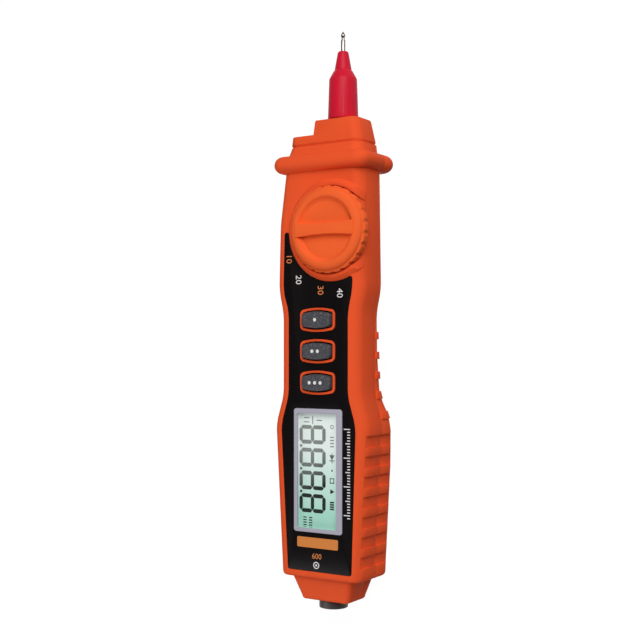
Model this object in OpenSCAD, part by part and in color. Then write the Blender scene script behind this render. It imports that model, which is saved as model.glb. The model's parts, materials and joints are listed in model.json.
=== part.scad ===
// Pen multimeter, lying on its back.
// +X is the right side seen from the front, +Y runs along the body to the probe tip, +Z is the front.
// The origin is on the resting plane, under the body's centreline, halfway between the two ends.
// Lengths are millimetres.

/* [Body outline] */
// Width at the lower end of the body
bottom_w = 33.2; // [31:0.1:35]
// Width at the widest place, just above the battery bay
widest_w = 39.2; // [38:0.1:42]
// Width at the waist, beside the keys
waist_w = 32.8; // [31:0.1:34]
// Width at the chest, below the selector knob
chest_w = 36.6; // [36:0.1:38]
// Reach of the left side from the centreline, beside the knob
shoulder_left = 17.7; // [17:0.1:18.2]
// Reach of the left side from the centreline, under the hand guard
neck_left = 15.3; // [14.8:0.1:16]
// Reach of the right side from the centreline, under the hand guard
neck_right = 17.8; // [17.4:0.1:18.2]
// Length from the lower end to the widest place
lower_len = 54.4; // [53.8:0.1:57]
// Length of the bend from the widest place to the waist
lower_bend_len = 10.6; // [9.6:0.1:12]
// Length of the waist
waist_len = 29.3; // [28.6:0.1:32]
// Length of the bend from the waist to the chest
chest_bend_len = 8.4; // [7.4:0.1:9.4]
// Length from the chest to the underside of the hand guard
chest_len = 42; // [41.4:0.1:44]
// Length over which each bend is softened
bend_soft = 2.2; // [1.5:0.1:3]

/* [Body depth] */
// Height of the front face above the resting plane
front_z = 22.4; // [22.2:0.1:23]
// Height of the body axis and of the socket's axis
axis_z = 11.7; // [11.5:0.1:12]
// Height of the parting plane between the two housings
parting_z = 10.3; // [10:0.1:10.6]
// Height of the back face at the widest place
widest_back_z = 1.3; // [1:0.1:1.6]
// Height of the back face halfway along the lower bend
bend_back_z = 2.3; // [2:0.1:2.6]
// Height of the back face at the lower end of the waist
waist_low_back_z = 5; // [4.6:0.1:5.4]
// Height of the back face at the middle of the waist
waist_mid_back_z = 6.9; // [6.4:0.1:7.2]
// Height of the back face at the upper end of the waist
waist_high_back_z = 7.2; // [6.8:0.1:7.4]
// Height of the back face from the chest to the nose
chest_back_z = 7.4; // [7:0.1:7.6]
// Length of the flat part of the back, from the lower end
flat_len = 40.2; // [38:0.1:42]
// Rounding of the front edges
front_edge_r = 3.9; // [3:0.1:4.2]
// Rounding of the back edges of the lower body
low_back_edge_r = 4.4; // [3.5:0.1:4.6]
// Rounding of the back edges of the chest
high_back_edge_r = 2.6; // [2:0.1:3]
// Rounding of the lower end's edges
end_edge_r = 1.4; // [0.8:0.1:1.8]
// Wall of the housings
wall = 1.8; // [1.6:0.1:2]

/* [Tail] */
// Length of the tail below the body
tail_len = 8.6; // [8:0.1:9.2]
// Half width of the tail where it leaves the body
tail_root_half = 13; // [12.7:0.1:13.2]
// Half width of the tail's end
tail_end_half = 10.1; // [9.8:0.1:10.4]
// Reach of the tail's root in front of the axis
tail_root_front = 9.4; // [9:0.1:9.8]
// Reach of the tail's end in front of the axis
tail_end_front = 6.9; // [6.7:0.1:7.4]
// Reach of the tail's root behind the axis
tail_root_back = 8.2; // [7.8:0.1:8.8]
// Reach of the tail's end behind the axis
tail_end_back = 7.1; // [6.7:0.1:7.4]
// Rounding of the tail's long edges
tail_edge_r = 2.2; // [1.6:0.1:2.6]

/* [Hand guard] */
// Thickness of the hand guard along the body
guard_t = 6; // [5.4:0.1:6.6]
// Reach of the hand guard to the left
guard_left = 18.7; // [18.2:0.1:19.2]
// Reach of the hand guard to the right
guard_right = 20.5; // [20:0.1:21]
// Height that the hand guard stands out from the front face
guard_front_rise = 3.1; // [2.6:0.1:3.6]
// Rounding of the hand guard's front corners
guard_front_r = 4.6; // [4:0.1:5.4]
// Rounding of the hand guard's back corners
guard_back_r = 6; // [5.4:0.1:6.4]

/* [Nose] */
// Length of the plain band above the hand guard
band_len = 3.2; // [2.8:0.1:3.8]
// Height of the groove round the nose's foot
groove_h = 1.2; // [0.9:0.1:1.4]
// Depth of the groove round the nose's foot
groove_d = 0.8; // [0.5:0.1:1]
// Length of the nose's low step
step_len = 3.3; // [2.9:0.1:3.7]
// Length of the nose's block above the step
block_len = 5.4; // [4.9:0.1:6]
// Reach of the band's top to the left
band_left = 13.4; // [13:0.1:13.6]
// Reach of the nose's low step to the left, at its foot
step_left = 13.7; // [13.5:0.1:13.9]
// Reach of the band's top to the right
band_right = 16.3; // [16:0.1:16.8]
// Height of the band's front
band_front_z = 21.2; // [21:0.1:21.6]
// Reach of the nose's block to the left, at its foot
block_foot_left = 3; // [2.9:0.1:3.4]
// Reach of the nose's block to the left, at its end
block_left = 2.7; // [2.4:0.1:2.8]
// Size of the bevel on the nose's low step
step_bevel = 0.9; // [0.7:0.1:1.2]
// Reach of the nose's block to the right
block_right = 14.2; // [13.9:0.1:14.4]
// Height of the front of the nose's block
block_front_z = 19.9; // [19.6:0.1:20.2]
// Height of the back of the nose's block
block_back_z = 7.2; // [7:0.1:7.6]
// Rounding of the nose's end
block_edge_r = 0.9; // [0.6:0.1:1.1]

/* [Probe] */
// Distance of the probe's axis to the right of the centreline
probe_x = 5.45; // [5.2:0.05:5.7]
// Height of the probe's axis
probe_z = 14.05; // [13.9:0.05:14.2]
// Diameter of the probe sleeve at its foot
sleeve_foot_d = 10.9; // [10.4:0.1:11.2]
// Diameter of the probe sleeve below its cone
sleeve_top_d = 9.6; // [9.2:0.1:9.9]
// Length of the probe sleeve's straight part
sleeve_straight_len = 14.7; // [14:0.1:16]
// Length of the shoulder between the straight part and the cone
sleeve_shoulder_len = 2.8; // [2.4:0.1:3.2]
// Diameter of the cone's foot
cone_foot_d = 6.2; // [5.8:0.1:6.4]
// Diameter of the cone's top
cone_top_d = 3.5; // [3.2:0.1:3.8]
// Length of the cone
cone_len = 6.8; // [6:0.1:7.5]
// Diameter of the sleeve's stem in the nose
stem_d = 6.6; // [6:0.1:6.8]
// Diameter of the needle
needle_d = 1.6; // [1.4:0.1:1.8]
// Length of the bare needle, from the sleeve to its point
needle_bare_len = 7.3; // [6.4:0.1:8]
// Diameter of the needle's root, inside the sleeve
needle_root_d = 2; // [1.9:0.1:2.4]
// Diameter of the needle's neck, behind its bead
needle_neck_d = 1.1; // [0.9:0.1:1.3]
// Length of the needle's bead with its neck
bead_len = 1.9; // [1.6:0.1:2.2]
// Length of the needle's point, from the bead
point_len = 1.4; // [1.2:0.1:1.8]

/* [Selector knob] */
// Distance of the knob's axis to the right of the centreline
knob_x = 5.75; // [5.4:0.05:6]
// Distance of the knob's axis above the chest
knob_rise = 20.6; // [20.2:0.1:21.2]
// Diameter of the knob's fluted wheel
knob_d = 30.6; // [30.2:0.1:31]
// Diameter of the knob's crest
knob_crest_d = 26.6; // [26:0.1:27]
// Height of the knob's crest above the front face
knob_h = 5.4; // [5:0.1:5.8]
// Height of the fluted wheel
wheel_h = 2.8; // [2.4:0.1:3]
// Diameter of the knob's dish
dish_d = 21.2; // [20:0.1:22]
// Depth of the knob's dish below the grip bar
dish_depth = 1.9; // [1.6:0.1:2.1]
// Rise of the grip bar above the knob's rim
bar_rise = 0.3; // [0.2:0.05:0.4]
// Width of the grip bar's ends
bar_end_w = 5.4; // [4.8:0.1:5.8]
// Width of the grip bar's waist
bar_waist_w = 3.45; // [3.1:0.05:4]
// Number of flutes round the wheel
flutes = 24; // [20:1:28]
// Depth of the flutes
flute_d = 0.4; // [0.3:0.05:0.5]
// Radial gap between the knob and its collar
knob_gap = 0.3; // [0.25:0.05:0.5]
// Width of the collar round the knob, at its foot
collar_w = 2.4; // [2.1:0.05:2.6]
// Height of the collar above the front face
collar_h = 1.6; // [1.2:0.1:1.8]
// Diameter of the knob's stem
knob_stem_d = 10; // [9:0.1:10.5]
// Angle between two switch positions
click_angle = 24.5; // [24:0.5:25]
// Number of switch positions
clicks = 5; // [5:1:5]

/* [Front panel] */
// Thickness of the black front panel
panel_t = 0.5; // [0.4:0.05:0.7]
// Width of the orange margin beside the panel, at the lower body
panel_margin = 4.05; // [3.9:0.05:4.3]
// Height of the margin below the panel
panel_bottom_margin = 2.7; // [2.4:0.1:3.2]
// How much wider the panel is at its lower right corner
panel_flare = 1.2; // [0.9:0.1:1.4]
// How much wider the panel's left side is beside the knob
panel_upper_flare = 0.4; // [0.2:0.1:0.5]
// Rounding of the panel's corners
panel_corner_r = 0.8; // [0.5:0.1:1]
// Gap round the panel in its pocket
panel_gap = 0.12; // [0.1:0.01:0.2]

/* [Keys] */
// Length of a key's collar across the body
key_collar_w = 14.4; // [14:0.1:14.8]
// Length of a key's collar along the body, at its middle
key_collar_l = 8.5; // [8.2:0.1:8.7]
// Length of a key's collar along the body, at its ends
key_end_l = 6.7; // [6.3:0.1:7.1]
// Rounding of the corners of a key's collar
key_r = 1.8; // [1.5:0.1:2]
// Width of a key's collar ring
key_collar_t = 0.75; // [0.6:0.05:0.9]
// Rise of a key's collar above the panel
key_collar_rise = 0.35; // [0.2:0.05:0.5]
// Distance between two keys
key_pitch = 11.1; // [10.8:0.1:11.6]
// Distance of the middle key above the middle of the waist
key_lift = 1.1; // [0.6:0.1:1.5]
// Gap between a key and its collar
key_gap = 0.5; // [0.4:0.05:0.6]
// Rise of a key above the front face
key_rise = 2; // [1.7:0.1:2.2]
// Travel of a key
key_travel = 0.8; // [0.6:0.1:0.9]

/* [Display] */
// Width of the display's frame
bezel_w = 20.2; // [19.8:0.1:20.6]
// Length of the display's frame
bezel_l = 43.9; // [43.4:0.1:44.3]
// Width of the frame's left border
bezel_left = 1.4; // [1.3:0.1:1.6]
// Width of the frame's right border
bezel_right = 2.4; // [2.2:0.1:2.6]
// Width of the frame's upper border
bezel_upper = 1.8; // [1.6:0.1:2]
// Width of the frame's lower border
bezel_lower = 1.4; // [1.2:0.1:1.5]
// Rounding of the frame's outer corners
bezel_r = 1; // [0.8:0.1:1.3]
// Distance of the frame's upper end above the widest place
bezel_rise = 6; // [5.7:0.1:6.2]
// Thickness of the display window
window_t = 1; // [0.8:0.1:1]
// Thickness of the display glass
glass_t = 2; // [1.8:0.1:2]

/* [Inside] */
// Thickness of the circuit board
board_t = 1; // [0.8:0.1:1.2]
// Height of the circuit board's underside
board_z = 15.2; // [15.1:0.05:15.3]
// Diameter of a battery cell
cell_d = 10.5; // [10.2:0.1:10.5]
// Length of a battery cell with its button
cell_len = 44.5; // [44:0.1:44.6]
// Height of the cells' axes
cell_z = 8.75; // [8.7:0.05:8.8]
// Thickness of the battery bay's walls
bay_wall = 0.8; // [0.7:0.05:0.9]
// Room for the spring contacts, at the two ends together
contact_room = 2.9; // [2.8:0.1:3.2]

/* [Battery door] */
// Width of the battery door
door_w = 24; // [23.6:0.1:24.4]
// Length of the door's foot, which holds its screw below the cells
door_foot = 6; // [5.8:0.1:6.2]
// Gap round the battery door
door_gap = 0.25; // [0.2:0.05:0.3]

/* [Socket] */
// Diameter of the socket's black body
jack_d = 10.4; // [10:0.1:10.8]
// Length of the socket's body
jack_len = 19.2; // [18.6:0.1:19.3]
// Length of the socket's body below the tail
jack_out = 2.9; // [2.5:0.1:3.3]
// Diameter of the socket's mouth
mouth_d = 7.6; // [7.2:0.1:8]
// Depth of the socket's mouth
mouth_depth = 15; // [14:0.1:16]
// Outer diameter of the contact sleeve
contact_d = 5.2; // [5:0.1:5.4]
// Bore of the contact sleeve
contact_bore_d = 4; // [3.9:0.05:4.1]

/* [Fasteners] */
// Shank diameter of the screws
screw_d = 2; // [1.8:0.1:2.2]
// Head diameter of the screws
screw_head_d = 3.8; // [3.6:0.1:4]
// Head height of the screws
screw_head_h = 1.3; // [1.2:0.1:1.4]
// Outer diameter of the screw posts
post_d = 5.2; // [4.8:0.1:5.4]

/* [Grips] */
// Distance between two grip grooves or ribs
grip_pitch = 7.05; // [6.8:0.05:7.3]
// Height of a groove in the lower body's sides
groove_l = 4.1; // [3.6:0.1:4.4]
// Depth of a groove in the lower body's sides
side_groove_d = 0.7; // [0.5:0.1:0.9]
// Number of grooves in each side
grooves = 7; // [5:1:7]
// Distance from the widest place to the first groove's middle
first_groove = 5.2; // [4.8:0.1:5.6]
// Height of a rib on the back of the waist
rib_l = 2.6; // [2.2:0.1:3]
// Rise of a rib on the back of the waist
rib_rise = 0.5; // [0.4:0.05:0.6]
// Number of ribs
ribs = 5; // [4:1:5]
// Distance from the upper end of the waist to the first rib's middle
first_rib = 8; // [7.6:0.1:8.6]

/* [Hidden] */

// General clearances and finishes
fit_gap = 0.3;      // between pieces that must not touch
run_gap = 0.08;     // radial gap of a part that turns or slides in its hole
overrun = 1;        // how far a cutter passes a face
sink = 0.3;         // how far a boss is sunk into the wall that carries it
reach = 300;        // larger than the whole object
edge_min_r = 0.5;   // smallest rounding of an inner corner
corner_steps = 6;
$fn = 48;

orange = [0.91, 0.38, 0.17];
black = [0.09, 0.08, 0.09];
steel = [0.72, 0.72, 0.70];
brass = [0.80, 0.66, 0.36];
red = [0.74, 0.11, 0.18];

// Places along the body, from the socket's end to the needle's point
sleeve_lift = 0.2;  // between the nose and the sleeve
total_len = jack_out + tail_len + lower_len + lower_bend_len + waist_len + chest_bend_len + chest_len
    + guard_t + band_len + groove_h / 2 + step_len + block_len + sleeve_lift + sleeve_straight_len
    + sleeve_shoulder_len + cone_len + needle_bare_len;
bottom_y = jack_out + tail_len - total_len / 2;
widest_y = bottom_y + lower_len;
waist_low_y = widest_y + lower_bend_len;
waist_high_y = waist_low_y + waist_len;
chest_y = waist_high_y + chest_bend_len;
neck_y = chest_y + chest_len;
shoulder_share = 0.565;
shoulder_y = chest_y + chest_len * shoulder_share;
guard_y = neck_y + guard_t / 2;
band_y = neck_y + guard_t + band_len;
step_y = band_y + groove_h / 2 + step_len;
nose_y = step_y + block_len;
tail_y = bottom_y - tail_len;
flat_y = bottom_y + flat_len;
knob_y = chest_y + knob_rise;
key_y = (waist_low_y + waist_high_y) / 2 + key_lift;
bezel_y = widest_y + bezel_rise - bezel_l / 2;
inner_front_z = front_z - wall - sink;
board_top_z = board_z + board_t;

// Outline of the body: reach to the left and right and heights of the back and front, along Y
left_line = [
    [tail_y, bottom_w / 2 - (widest_w - bottom_w) / 2 * tail_len / lower_len],
    [bottom_y, bottom_w / 2], [widest_y, widest_w / 2], [waist_low_y, waist_w / 2],
    [waist_high_y, waist_w / 2], [chest_y, chest_w / 2], [shoulder_y, shoulder_left],
    [neck_y, neck_left], [band_y, band_left]
];
right_line = [
    [tail_y, bottom_w / 2 - (widest_w - bottom_w) / 2 * tail_len / lower_len],
    [bottom_y, bottom_w / 2], [widest_y, widest_w / 2], [waist_low_y, waist_w / 2],
    [waist_high_y, waist_w / 2], [chest_y, chest_w / 2], [neck_y, neck_right],
    [band_y, band_right]
];
back_line = [
    [flat_y, 0], [widest_y, widest_back_z], [widest_y + lower_bend_len / 2, bend_back_z],
    [waist_low_y, waist_low_back_z], [(waist_low_y + waist_high_y) / 2, waist_mid_back_z],
    [waist_high_y, waist_high_back_z], [chest_y, chest_back_z]
];
front_line = [[neck_y + guard_t, front_z], [band_y, band_front_z]];
back_edge_line = [[widest_y, low_back_edge_r], [waist_low_y, high_back_edge_r]];

function softened(y, line) =
    (lookup(y - bend_soft, line) + lookup(y, line) + lookup(y + bend_soft, line)) / 3;

// A cross-section: [y, left reach, right reach, back height, front height, back edge, front edge]
function body_section(y) = [
    y, softened(y, left_line), softened(y, right_line), softened(y, back_line),
    lookup(y, front_line), lookup(y, back_edge_line), front_edge_r
];
function inset(s, d) = [
    s[0], s[1] - d, s[2] - d, s[3] + d, s[4] - d,
    max(s[5] - d, edge_min_r), max(s[6] - d, edge_min_r)
];
function moved(s, y) = [y, s[1], s[2], s[3], s[4], s[5], s[6]];
function between(a, b, share) = a + (b - a) * share;
function half_w(y) = softened(y, right_line);

// Stations at which a run of the body needs a cross-section
function bend(y) = [y - bend_soft, y, y + bend_soft];
low_bend_y = (widest_y + waist_low_y) / 2;
main_bends = concat(bend(widest_y), bend(waist_low_y), bend(waist_high_y), bend(chest_y));
body_run = concat(
    [flat_y], bend(widest_y), [low_bend_y], bend(waist_low_y), [(waist_low_y + waist_high_y) / 2],
    bend(waist_high_y), bend(chest_y), bend(shoulder_y), [neck_y, neck_y + guard_t, band_y]
);

// Points of a rounded cross-section, anticlockwise seen from the lower end
function arc(x, z, r, from) = [
    for (i = [0:corner_steps])
        [x + r * cos(from + 90 * i / corner_steps), z + r * sin(from + 90 * i / corner_steps)]
];
function ring(s) = [
    for (p = concat(
        arc(s[2] - s[6], s[4] - s[6], s[6], 0), arc(s[6] - s[1], s[4] - s[6], s[6], 90),
        arc(s[5] - s[1], s[3] + s[5], s[5], 180), arc(s[2] - s[5], s[3] + s[5], s[5], 270)
    )) [p[0], s[0], p[1]]
];

// A solid skinned over rings of points, each ring anticlockwise seen against the run
module skin(rings) {
    n = len(rings[0]);
    last = len(rings) - 1;
    polyhedron(
        points = [for (r = rings) each r],
        faces = concat(
            [[for (i = [0:n - 1]) n - 1 - i]],
            [for (k = [0:last - 1], i = [0:n - 1])
                [k * n + i, k * n + (i + 1) % n, (k + 1) * n + (i + 1) % n]],
            [for (k = [0:last - 1], i = [0:n - 1])
                [k * n + i, (k + 1) * n + (i + 1) % n, (k + 1) * n + i]],
            [[for (i = [0:n - 1]) last * n + i]]
        ),
        convexity = 6
    );
}
module loft(sections) { skin([for (s = sections) ring(s)]); }

// The rounded end of a loft: sections that draw in by r towards y, on the side that dir points to
function rounded_end(s, y, r, dir) = [
    for (a = [0, 30, 60, 90]) moved(inset(s, r * (1 - cos(a))), y - dir * r * (1 - sin(a)))
];
function turned(list) = [for (i = [len(list) - 1:-1:0]) list[i]];

module body_form(d = 0) {
    low = body_section(bottom_y + end_edge_r);
    loft(concat(
        turned([for (s = rounded_end(low, bottom_y, end_edge_r, -1)) inset(s, d)]),
        [for (y = body_run) inset(body_section(y), d)]
    ));
}

module tail_form() {
    root_y = bottom_y + end_edge_r + wall;
    grow = (tail_root_half - tail_end_half) * (end_edge_r + wall) / tail_len;
    tail_end = [
        tail_y, tail_end_half, tail_end_half, axis_z - tail_end_back, axis_z + tail_end_front,
        tail_edge_r, tail_edge_r
    ];
    tail_root = [
        root_y, tail_root_half + grow, tail_root_half + grow, axis_z - tail_root_back,
        axis_z + tail_root_front, tail_edge_r, tail_edge_r
    ];
    loft(concat(turned(rounded_end(tail_end, tail_y, end_edge_r, -1)), [tail_root]));
}

// The guard is a plate with half-round edges
module guard_form() {
    outline = [
        guard_y, guard_left, guard_right, 0, front_z + guard_front_rise, guard_back_r, guard_front_r
    ];
    r = guard_t / 2;
    loft([for (a = [-90:15:90]) moved(inset(outline, r * (1 - cos(a))), guard_y + r * sin(a))]);
}

module nose_form() {
    band = body_section(band_y);
    foot = [band_y, step_left, band[2], band[3], band[4], band[5], band[6]];
    top = [
        nose_y, step_left - groove_d, block_right, block_back_z,
        block_front_z, high_back_edge_r, front_edge_r - block_edge_r
    ];
    rise = nose_y - band_y;
    difference() {
        loft(concat(
            [moved(inset(foot, groove_d), band_y - sink), moved(inset(foot, groove_d), band_y),
            moved(between(foot, top, groove_h / rise), band_y + groove_h / 2 + groove_d / 2)],
            rounded_end(top, nose_y, block_edge_r, 1)
        ));
        translate([0, 0, -reach / 2]) linear_extrude(reach) polygon([
            [-reach, step_y - step_bevel], [-step_left, step_y - step_bevel],
            [step_bevel - step_left, step_y], [-block_foot_left, step_y],
            [-block_left, nose_y], [-block_left, reach], [-reach, reach]
        ]);
    }
}

module outer_form() {
    body_form();
    tail_form();
    guard_form();
    nose_form();
}

module cavity_form() {
    low = body_section(bottom_y + wall);
    loft(concat(
        [inset(low, wall)],
        [for (y = body_run) if (y < neck_y + guard_t) inset(body_section(y), wall)],
        [inset(body_section(neck_y + guard_t), wall)]
    ));
}

module above(z) { translate([-reach / 2, -reach / 2, z]) cube([reach, reach, reach]); }
module below(z) { translate([-reach / 2, -reach / 2, z - reach]) cube([reach, reach, reach]); }
module along_y(x, z, y) { translate([x, y, z]) rotate([-90, 0, 0]) children(); }
module rounded_rect(w, l, r) {
    offset(r = r, $fn = 24) square([w - 2 * r, l - 2 * r], center = true);
}
module plate(w, l, r, z, t) {
    translate([0, 0, z]) linear_extrude(t) rounded_rect(w, l, r);
}
module slab(w, l, z, t) { translate([-w / 2, -l / 2, z]) cube([w, l, t]); }

// Grip grooves in the sides of the lower body
module side_grooves() {
    for (i = [0:grooves - 1], side = [0, 1]) mirror([side, 0, 0]) {
        y = widest_y - first_groove - i * grip_pitch;
        ends = [y - groove_l / 2, y + groove_l / 2];
        translate([0, 0, -reach / 2]) linear_extrude(reach) polygon([
            [half_w(ends[0]) - side_groove_d, ends[0]], [reach, ends[0]],
            [reach, ends[1]], [half_w(ends[1]) - side_groove_d, ends[1]]
        ]);
    }
}

// Ribs across the back of the waist
module back_ribs() {
    intersection() {
        loft([
            for (y = concat(bend(widest_y), [low_bend_y], bend(waist_low_y), bend(waist_high_y)))
                inset(body_section(y), -rib_rise)
        ]);
        below(parting_z - fit_gap);
        for (i = [0:ribs - 1])
            translate([-reach / 2, waist_high_y - first_rib - i * grip_pitch - rib_l / 2, -reach / 2])
                cube([reach, rib_l, reach]);
    }
}

// Screw posts: [x, y, height of the back face there]
post_in = wall + post_d / 2 - sink;
upper_post_y = neck_y - post_d - fit_gap;
waist_post_y = waist_low_y + post_d / 2 + fit_gap;
posts = [
    [post_in - softened(upper_post_y, left_line), upper_post_y],
    [softened(upper_post_y, right_line) - post_in, upper_post_y],
    [post_in - half_w(waist_post_y), waist_post_y],
    [half_w(waist_post_y) - post_in, waist_post_y]
];
function back_at(y) = softened(y, back_line);
head_cover = 0.4;   // how deep a screw head lies below the back face
seat_t = 1;         // floor under a screw head
function seat_z(y) = back_at(y) + head_cover + screw_head_h;
screw_len = 6;      // shank of a case screw below its head

module post_bores(clear) {
    for (p = posts) translate([p[0], p[1], parting_z - overrun])
        cylinder(d = screw_d + clear, h = screw_len);
}

// Selector knob's place in the front housing
collar_in_r = knob_d / 2 + knob_gap;
collar_out_r = collar_in_r + collar_w;
module at_knob() { translate([knob_x, knob_y, 0]) children(); }
collar_land_share = 0.4;
collar_fade_share = 0.6;
// The collar's ends fade into the rounding of the body's right side
module collar_roof() {
    x = softened(knob_y, right_line) - front_edge_r - collar_fade_share * collar_h;
    translate([0, reach / 2, 0]) rotate([90, 0, 0]) linear_extrude(reach) polygon(concat(
        [[-reach, 0], [-reach, front_z + collar_h + sink]],
        [for (a = [90:-15:15]) [
            x + (front_edge_r + collar_fade_share * collar_h) * cos(a),
            front_z - front_edge_r + (front_edge_r + collar_h + sink) * sin(a)
        ]],
        [[x + front_edge_r, 0]]
    ));
}
module knob_collar() {
    intersection() {
        at_knob() rotate_extrude($fn = 96)
            polygon([
                [collar_in_r, front_z - front_edge_r], [collar_out_r, front_z - front_edge_r],
                [collar_out_r, front_z],
                [between(collar_in_r, collar_out_r, collar_land_share), front_z + collar_h],
                [collar_in_r, front_z + collar_h]
            ]);
        collar_roof();
    }
}

// Rotary switch: rotor with two sprung balls inside a notched ring
rotor_top_z = inner_front_z - fit_gap;
rotor_lift = 1.2;       // between the board and the rotor
rotor_low_z = board_top_z + rotor_lift;
rotor_z = (rotor_low_z + rotor_top_z) / 2;
rotor_d = 18;
ball_d = 1.8;
ball_out_share = 1 / 6;
ball_at = rotor_d / 2 - ball_d * ball_out_share;
ring_in_r = ball_at + ball_d / 2 + run_gap;
ring_t = 1.5;
notch_r = 0.6;
module detent_ring() {
    bore_h = rotor_top_z + fit_gap - rotor_low_z + overrun;
    at_knob() translate([0, 0, rotor_low_z]) difference() {
        cylinder(r = ring_in_r + ring_t, h = front_z - wall + sink - rotor_low_z);
        translate([0, 0, -overrun]) cylinder(r = ring_in_r, h = bore_h);
        for (i = [0:clicks - 1], half = [0, 180]) rotate(half + i * click_angle)
            translate([ring_in_r, 0, -overrun]) cylinder(r = notch_r, h = bore_h);
    }
}

// Outlines on the front face
module panel_outline(grow = 0) {
    offset(r = panel_corner_r + grow, $fn = 24) offset(delta = -panel_corner_r)
    difference() {
        polygon(concat(
            [[half_w(bottom_y) - panel_margin + panel_flare, bottom_y + panel_bottom_margin]],
            [for (y = concat(main_bends, [knob_y])) [half_w(y) - panel_margin, y]],
            [for (y = concat([knob_y], turned(main_bends)), flare = y > chest_y - 2 * bend_soft ? 1 : 0)
                [panel_margin - softened(y, left_line) - flare * panel_upper_flare, y]],
            [[panel_margin - half_w(bottom_y) - panel_gap, bottom_y + panel_bottom_margin]]
        ));
        translate([knob_x, knob_y]) circle(r = collar_out_r + panel_gap, $fn = 96);
        translate([knob_x, knob_y]) square([reach, 2 * collar_in_r], center = false);
    }
}
module key_places() { for (i = [-1:1]) translate([0, key_y + i * key_pitch]) children(); }
// Outline of a key, clockwise: rounded corners and bowed long edges
key_bow = (key_collar_l - key_end_l) / 2;
bow_steps = 4;
function key_edge_y(x, w, l) = l / 2 - key_bow * pow(2 * x / w, 2);
function key_side(w, l, r) = let (x = w / 2 - r, y = key_edge_y(x, w, l) - r) concat(
    [for (i = [-bow_steps:bow_steps]) [x * i / bow_steps, key_edge_y(x * i / bow_steps, w, l)]],
    [for (a = [67.5:-22.5:0]) [x + r * cos(a), y + r * sin(a)]],
    [for (a = [0:22.5:67.5]) [x + r * cos(a), -y - r * sin(a)]]
);
function key_ring(w, l, r) = concat(key_side(w, l, r), [for (q = key_side(w, l, r)) -q]);
module key_collar_outline(grow = 0) {
    polygon(key_ring(key_collar_w + 2 * grow, key_collar_l + 2 * grow, key_r + grow));
}
module key_hole_outline(grow = 0) {
    polygon(key_ring(
        key_collar_w - 2 * key_collar_t + 2 * grow, key_collar_l - 2 * key_collar_t + 2 * grow,
        key_r - key_collar_t + grow
    ));
}
module bezel_outline(grow = 0) {
    translate([0, bezel_y]) offset(delta = grow) rounded_rect(bezel_w, bezel_l, bezel_r);
}
view_w = bezel_w - bezel_left - bezel_right;
view_l = bezel_l - bezel_upper - bezel_lower;
view_x = (bezel_left - bezel_right) / 2;
view_y = bezel_y + (bezel_lower - bezel_upper) / 2;
ledge_z = front_z - window_t - panel_t - run_gap;

module front_housing() {
    color(orange) difference() {
        union() {
            difference() {
                outer_form();
                cavity_form();
                translate([0, 0, front_z - panel_t]) linear_extrude(reach) difference() {
                    panel_outline(panel_gap);
                    key_places() key_collar_outline();
                }
            }
            knob_collar();
            key_places() translate([0, 0, front_z - panel_t - sink])
                linear_extrude(panel_t + key_collar_rise + sink) key_collar_outline();
            for (p = posts) translate([p[0], p[1], parting_z])
                cylinder(d = post_d, h = front_z - wall + sink - parting_z);
            detent_ring();
            translate([0, 0, inner_front_z]) linear_extrude(wall)
                difference() {
                    bezel_outline(-fit_gap);
                    translate([view_x, view_y]) square([view_w + wall, view_l + wall / 2], center = true);
                }
        }
        below(parting_z);
        side_grooves();
        post_bores(2 * run_gap);
        at_knob() translate([0, 0, inner_front_z - overrun])
            cylinder(d = knob_stem_d + 2 * run_gap, h = wall + 2 * overrun);
        at_knob() translate([0, 0, front_z]) cylinder(r = collar_in_r, h = reach, $fn = 96);
        translate([0, 0, ledge_z]) linear_extrude(reach) bezel_outline(panel_gap);
        translate([0, 0, board_top_z]) linear_extrude(reach) translate([view_x, view_y])
            square([view_w + wall, view_l + wall / 2], center = true);
        translate([0, 0, board_top_z]) key_places() linear_extrude(reach) key_hole_outline();
        probe_bores();
        jack_bore();
    }
}

// Probe sleeve's socket in the nose, and the passage for the needle behind it
stem_len = 8;
module probe_bores() {
    along_y(probe_x, probe_z, nose_y - stem_len - fit_gap)
        cylinder(d = stem_d + 2 * run_gap, h = stem_len + fit_gap + overrun);
    along_y(probe_x, probe_z, neck_y) cylinder(d = needle_root_d + fit_gap, h = nose_y - neck_y);
}
module jack_bore() {
    along_y(0, axis_z, tail_y - overrun) cylinder(d = jack_d + 2 * run_gap, h = jack_len + overrun);
}

// Battery bay, over the door
door_t = wall;
bay_len = cell_len + contact_room;
bay_w = 2 * cell_d + 2 * fit_gap;
jack_clear = 0.7;
bay_y = tail_y - jack_out + jack_len + jack_clear + bay_wall + bay_len / 2;
door_len = door_foot + bay_len + seat_t;
door_y = bay_y + bay_len / 2 + seat_t - door_len / 2;
bay_top_z = cell_z + cell_d / 2 + run_gap;
module at_bay() { translate([0, bay_y, 0]) children(); }

// The door's outline, grown by a margin, as far in as the back face may lie
module door_prism(grow) {
    translate([-door_w / 2 - grow, door_y - door_len / 2 - grow, -reach])
        cube([door_w + 2 * grow, door_len + 2 * grow, reach + parting_z / 2]);
}
door_screw_y = door_y - door_len / 2 + post_d / 2;
door_post_top_z = axis_z - jack_d / 2 - fit_gap;

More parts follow.
